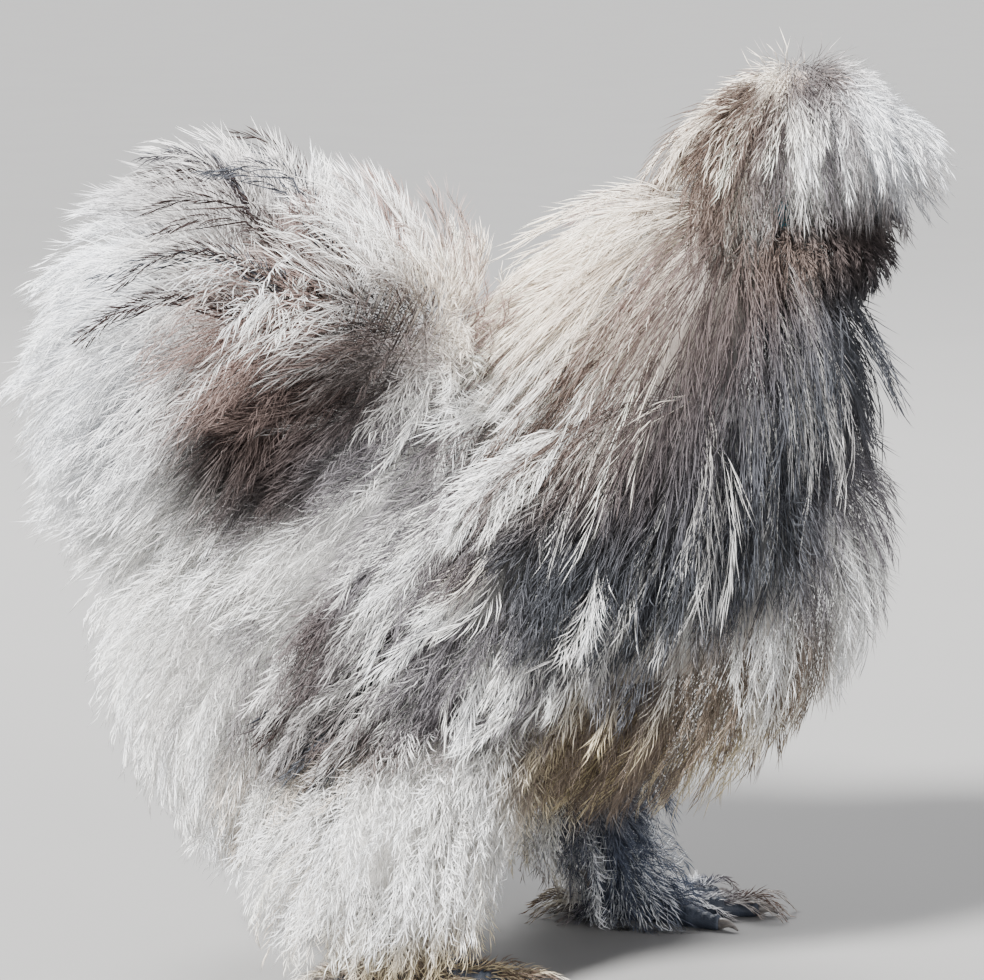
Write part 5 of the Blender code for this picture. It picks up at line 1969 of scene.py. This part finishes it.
@dataclass(frozen=True)
class SkinFinish:
    """Bare bird skin: fine granules on face and comb, thin scutes on the legs, slightly moist and translucent."""

    name: str = "bare silkie skin"
    granule_mm: float = 0.7
    cloud_mm: float = 4.0
    shades: Span = (0.75, 1.2)
    gloss: Span = (0.42, 0.62)

    def make(self) -> Material:
        """The material: painted tones, granular bump and uneven gloss."""
        material, tree, shader = blank(self.name)
        tone = add_node(tree, "ShaderNodeAttribute", attribute_name="skin_colour")
        places = own_places(tree)
        cells = add_node(tree, "ShaderNodeTexVoronoi", {"Vector": places}, {"Scale": 1 / (self.granule_mm * MM)})
        cloud = grain(tree, places, self.cloud_mm * MM, 4.0)
        tint(tree, shader, tone.outputs["Color"], stretched(tree, cloud, *self.shades))
        emboss(tree, shader, cells.outputs["Distance"], 0.5, invert=True)
        tree.links.new(stretched(tree, cloud, *self.gloss), shader.inputs["Roughness"])
        set_shader(shader, Specular_IOR_Level=0.45)
        return material


@dataclass(frozen=True)
class HornFinish:
    """Beak or claw horn: grown in layers, so streaked along its length, smooth and half glossy."""

    name: str
    base: str
    edge: str
    streak_mm: float = 1.4
    roughness: float = 0.34

    def make(self) -> Material:
        """The material: streaks between two tones and faint growth lines."""
        material, tree, shader = blank(self.name)
        long = add_node(tree, "ShaderNodeMapping", {"Vector": own_places(tree)}, {"Scale": (0.25, 1, 1)})
        streak = grain(tree, long.outputs["Vector"], self.streak_mm * MM, 3.0)
        tone = stained(tree, streak, ((0.35, self.base), (0.68, self.edge)))
        tree.links.new(tone, shader.inputs["Base Color"])
        emboss(tree, shader, streak, 0.25)
        set_shader(shader, Roughness=self.roughness, Specular_IOR_Level=0.5)
        return material


@dataclass(frozen=True)
class EyeFinish:
    """A wet, nearly black eye: dark brown iris round the pupil under a clear cornea."""

    name: str = "wet eye"
    pupil_mm: float = 1.9
    iris_mm: float = 3.5

    def make(self, side: Side) -> Material:
        """The material of that side's eye, ringed round its own axis.

        Args:
            side: Which eye.

        Returns:
            The material.
        """
        material, tree, shader = blank(f"{self.name} {side.word}")
        tip = Vector(home(np.array(eye_place(side)))) + eye_gaze(side) * (EYE_RADIUS * MM)
        gap = add_node(tree, "ShaderNodeVectorMath", {0: own_places(tree)}, {1: tip}, operation="DISTANCE")
        share = stretched(tree, gap.outputs["Value"], 0.0, 1.0, 0.0, 2 * self.iris_mm * MM)
        pupil = self.pupil_mm / self.iris_mm / 2
        tone = stained(tree, share, (
            (0.0, "#050404"), (pupil, "#060505"), (pupil + 0.03, "#2C1A12"), (0.48, "#1B110D"), (0.52, "#0A0808"),
            (1.0, "#0A0808"),
        ))
        tree.links.new(tone, shader.inputs["Base Color"])
        set_shader(shader, Roughness=0.45, Specular_IOR_Level=0.08, Coat_Weight=0.55, Coat_Roughness=0.03)
        return material


@dataclass(frozen=True)
class PaintedBoard:
    """Matt painted board for the floor."""

    name: str
    colour: str
    cloud: float = 1 / 6
    shades: Span = (0.97, 1.03)

    def make(self) -> Material:
        """The material: one pale tone with a trace of unevenness."""
        material, tree, shader = blank(self.name)
        cloud = grain(tree, own_places(tree), self.cloud, 2.0)
        tint(tree, shader, linear(self.colour), stretched(tree, cloud, *self.shades, 0.0, 1.0))
        set_shader(shader, Roughness=0.8, Specular_IOR_Level=0.2)
        return material


@dataclass
class Studio:
    """Floor, lights and camera.

    Attributes:
        distance: From the camera to what it aims at, in metres.
        elevation: How far the camera looks down, in degrees.
        width: What the picture spans across, in metres.
        aim: The middle of the picture, in millimetres in the bird's frame.
        sensor: The width of the sensor in millimetres.
        reach: Half the width of the floor, in metres.
        lit_place: What the lights point at, in metres.
        sky: The strength of the light from all round.
    """

    distance: float = 1.5
    elevation: float = 9.0
    width: float = 0.3936
    aim: Place = (6.1, -0.5, 190.35)
    sensor: float = 36.0
    reach: float = 150.0
    lit_place: Place = (0, 0, 0.18)
    sky: float = 0.8

    def build_floor(self) -> None:
        """A pale floor, wide enough that its edge stays out of every view."""
        bm = bmesh.new()
        bmesh.ops.create_grid(bm, x_segments=1, y_segments=1, size=self.reach)
        floor = add_object("floor", mesh_from("floor", bm))
        floor.data.materials.append(PaintedBoard("matt pale board", "#7C7B79").make())

    def build_lights(self) -> None:
        """A soft key from the upper left of the camera, a large fill from the right and a light from behind."""
        for name, kind, place, size, power in (
            ("key", "SUN", (-1.1, -1.4, 1.9), math.radians(12), 18.5),
            ("fill", "AREA", (1.7, -1.5, 0.7), 1.6, 26.0),
            ("back", "AREA", (-0.4, 1.4, 1.7), 1.0, 80.0),
        ):
            lamp = bpy.data.lights.new(name, kind)
            lamp.energy = power
            if kind == "SUN":
                lamp.angle = size
            else:
                lamp.size = size
            look(add_object(name, lamp), place, self.lit_place)
        world = bpy.data.worlds.new("studio")
        world.use_nodes = True
        sky = world.node_tree.nodes["Background"]
        sky.inputs["Color"].default_value = (*linear("#EFF3FF"), 1)
        sky.inputs["Strength"].default_value = self.sky
        bpy.context.scene.world = world

    def build_camera(self) -> None:
        """The camera at the photo's viewing angle and framing."""
        lens = bpy.data.cameras.new("camera")
        lens.sensor_width = self.sensor
        lens.lens = self.sensor * self.distance / self.width
        camera = add_object("camera", lens)
        tilt = math.radians(self.elevation)
        aim = Vector(home(np.array(self.aim)))
        look(camera, aim + Vector((0, -math.cos(tilt), math.sin(tilt))) * self.distance, aim)
        bpy.context.scene.camera = camera


def flesh_tree(loft: OvalLoft) -> BVHTree:
    """A search tree of a loft's surface.

    Args:
        loft: The loft.

    Returns:
        The tree.
    """
    bm = bmesh.new()
    loft.lay(bm, 20, 20)
    bmesh.ops.recalc_face_normals(bm, faces=bm.faces)
    return search_tree(bm)


def skin_tree(skin: Object) -> BVHTree:
    """A search tree of the skin, in millimetres in the bird's frame.

    Args:
        skin: The skin.

    Returns:
        The tree.
    """
    bm = bmesh.new()
    bm.from_mesh(skin.data)
    for vert in bm.verts:
        vert.co = own_frame(vert.co)
    return search_tree(bm)


# How much wider the shelves are than the square root of all areas, so that nearly all fit.
SPARE = 1.12


def charts_for(names: Sequence[str], areas: Sequence[float]) -> dict[str, Chart]:
    """Shares the unit square among the parts by the area of their skin, in shelves.

    Args:
        names: The parts.
        areas: The area of each.

    Returns:
        A chart for each part.
    """
    order = sorted(zip(names, areas), key=lambda pair: -pair[1])
    side = math.sqrt(sum(areas)) * SPARE
    charts, top, x, y, height = {}, 0.0, 0.0, 0.0, 0.0
    for name, area in order:
        edge = math.sqrt(area)
        if x + edge > side:
            x, y, height = 0.0, y + height, 0.0
        charts[name] = Chart((x / side, y / side), (edge / side, edge / side))
        x, height = x + edge, max(height, edge)
        top = max(top, y + height)
    squash = max(top / side, 1)
    return {
        name: Chart((chart.low[0], chart.low[1] / squash), (chart.size[0], chart.size[1] / squash))
        for name, chart in charts.items()
    }


def loft_area(loft: OvalLoft) -> float:
    """About the area of a loft's skin.

    Args:
        loft: The loft.

    Returns:
        Square millimetres.
    """
    marks = np.linspace(0, 1, 60)
    centre, wide, deep, _ = loft.section(marks)
    steps = np.linalg.norm(np.diff(centre, axis=0), axis=1)
    girths = np.pi * (wide + deep)
    return float(np.sum(steps * (girths[1:] + girths[:-1]) / 2))


# Coats whose feathers must not start inside the flesh of these others; for the rest it is the torso's alone.
BURIED_IN = {
    "coat_face": ("coat_hackle",),
    "coat_crest": ("coat_hackle",),
    "coat_hackle": ("coat_body",),
    "coat_abdomen": ("coat_body", "coat_tail"),
    "coat_cushion": ("coat_body", "coat_tail"),
    "coat_tail": ("coat_body", "coat_cushion"),
    "coat_body": ("coat_hackle", "coat_abdomen", "coat_wing_right", "coat_wing_left"),
    "coat_cape_right": (),
    "coat_cape_left": (),
}


@dataclass
class Dresser:
    """Grows each coat on the skin and puts the pieces in the scene.

    Attributes:
        skin: The bare body.
        plume: The feathers' finish.
        charts: Each part's place on the unwrap.
        flesh: The flesh that each coat springs through, under the coat's name.
        total: How many triangles there are so far.
    """

    skin: BVHTree
    plume: Material
    charts: dict[str, Chart]
    flesh: dict[str, BVHTree]
    total: int = 0

    def show(self, name: str, nodes: Iterable[str], tuft: Tuft) -> None:
        """Adds one piece of coat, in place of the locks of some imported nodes.

        Args:
            name: Its name.
            nodes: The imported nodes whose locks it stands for.
            tuft: Its strands.
        """
        piece = tuft.build(name)
        seat(piece, self.plume, nodes)
        self.total += len(piece.data.polygons)

    def coat(self, coat: Coat) -> None:
        """Grows one coat, in halves where it says so.

        Args:
            coat: The coat.
        """
        others = [self.flesh[name] for name in BURIED_IN.get(coat.name, ("coat_body",))]
        feathers = coat.grow(self.charts[coat.name], self.skin, others)
        rng = np.random.default_rng(1000 + coat.seed)
        sides = [("", np.ones(len(feathers.roots), bool))]
        if coat.halves:
            on_left = feathers.ways[:, 0, 1] > 0
            sides = [("_right", ~on_left), ("_left", on_left)]
        for word, chosen in sides:
            tuft = Plumage(SPLASH_AND_SHADE).dress(feathers.pick(chosen), coat.cut, rng)
            self.show(coat.name + word, coat.nodes, tuft)

    def spray(self, name: str, slot: str, nodes: Iterable[str], spray: Spray, tones: Markings) -> None:
        """Adds a spray of long feathers."""
        rng = np.random.default_rng(2000 + spray.seed)
        self.show(name, nodes, Plumage(tones).dress(spray.grow(self.charts[name]), spray.cut, rng))

    def fan(self, fan: FootFan) -> None:
        """Adds the feathers of one foot.

        Args:
            fan: The feathers' plan.
        """
        rng = np.random.default_rng(3000 + fan.seed)
        name = f"coat_foot_{fan.side.word}"
        feathers = fan.grow(self.charts[name])
        self.show(name, (f"foot_{fan.side.word}",), Plumage(SPLASH_AND_SHADE).dress(feathers, fan.cut, rng))


FLESH_NODES = (
    "head", "comb", "ear_lobe_right", "ear_lobe_left", "neck", "torso", "abdomen", "cushion", "tail", "crest",
    "beard", "wing_right", "wing_left", "thigh_right", "thigh_left", "shank_right", "shank_left", "foot_right",
    "foot_left",
)


# The skin that the single feathers take on the unwrap, in square millimetres.
SPRAY_AREAS = {"coat_primaries": 2500.0, "coat_sickles": 2500.0, "coat_foot_right": 1600.0, "coat_foot_left": 1600.0}


def dress_hard_parts() -> None:
    """Beak, claws and eyes, each as its own piece."""
    horn = HornFinish("slate beak horn", "#2C2D34", "#55555C").make()
    nail = HornFinish("grey claw horn", "#4A4645", "#857F78", roughness=0.4).make()
    for piece, node in zip(Beak().build(), ("beak_upper", "beak_lower")):
        seat(piece, horn, (node,))
    for side in Side:
        seat(build_eye(side), EyeFinish().make(side), (f"eye_{side.word}",))
        for toe in TOES:
            seat(Foot(side).claw(toe), nail, (f"claw_{toe.name}_{side.word}",))


def dress_body() -> Object:
    """The skin, coloured and in place."""
    body = Body()
    skin = body.build()
    body.colour(skin)
    seat(skin, SkinFinish().make(), FLESH_NODES)
    return skin


def dress_coat(skin: Object) -> None:
    """All the feathers.

    Args:
        skin: The bird's skin.
    """
    names = [coat.name for coat in COATS] + list(SPRAY_AREAS)
    areas = [loft_area(coat.flesh) for coat in COATS] + list(SPRAY_AREAS.values())
    flesh = {coat.name: flesh_tree(coat.flesh) for coat in COATS}
    dresser = Dresser(skin_tree(skin), PlumeFinish().make(), charts_for(names, areas), flesh)
    for coat in COATS:
        dresser.coat(coat)
    dresser.spray("coat_primaries", "wing_plumage", ("wing_right", "wing_left"), PRIMARIES, DARK_VANES)
    dresser.spray("coat_sickles", "tail_plumage", ("tail",), SICKLES, SICKLE_TONES)
    for side in Side:
        dresser.fan(FANS[side])
    LOG.info("coat in all: %d triangles", dresser.total)


def main() -> None:
    """Builds the bird and its studio."""
    logging.basicConfig(level=logging.INFO, format="%(message)s")
    dress_hard_parts()
    dress_coat(dress_body())
    studio = Studio()
    studio.build_floor()
    studio.build_lights()
    studio.build_camera()


if __name__ == "__main__":
    main()
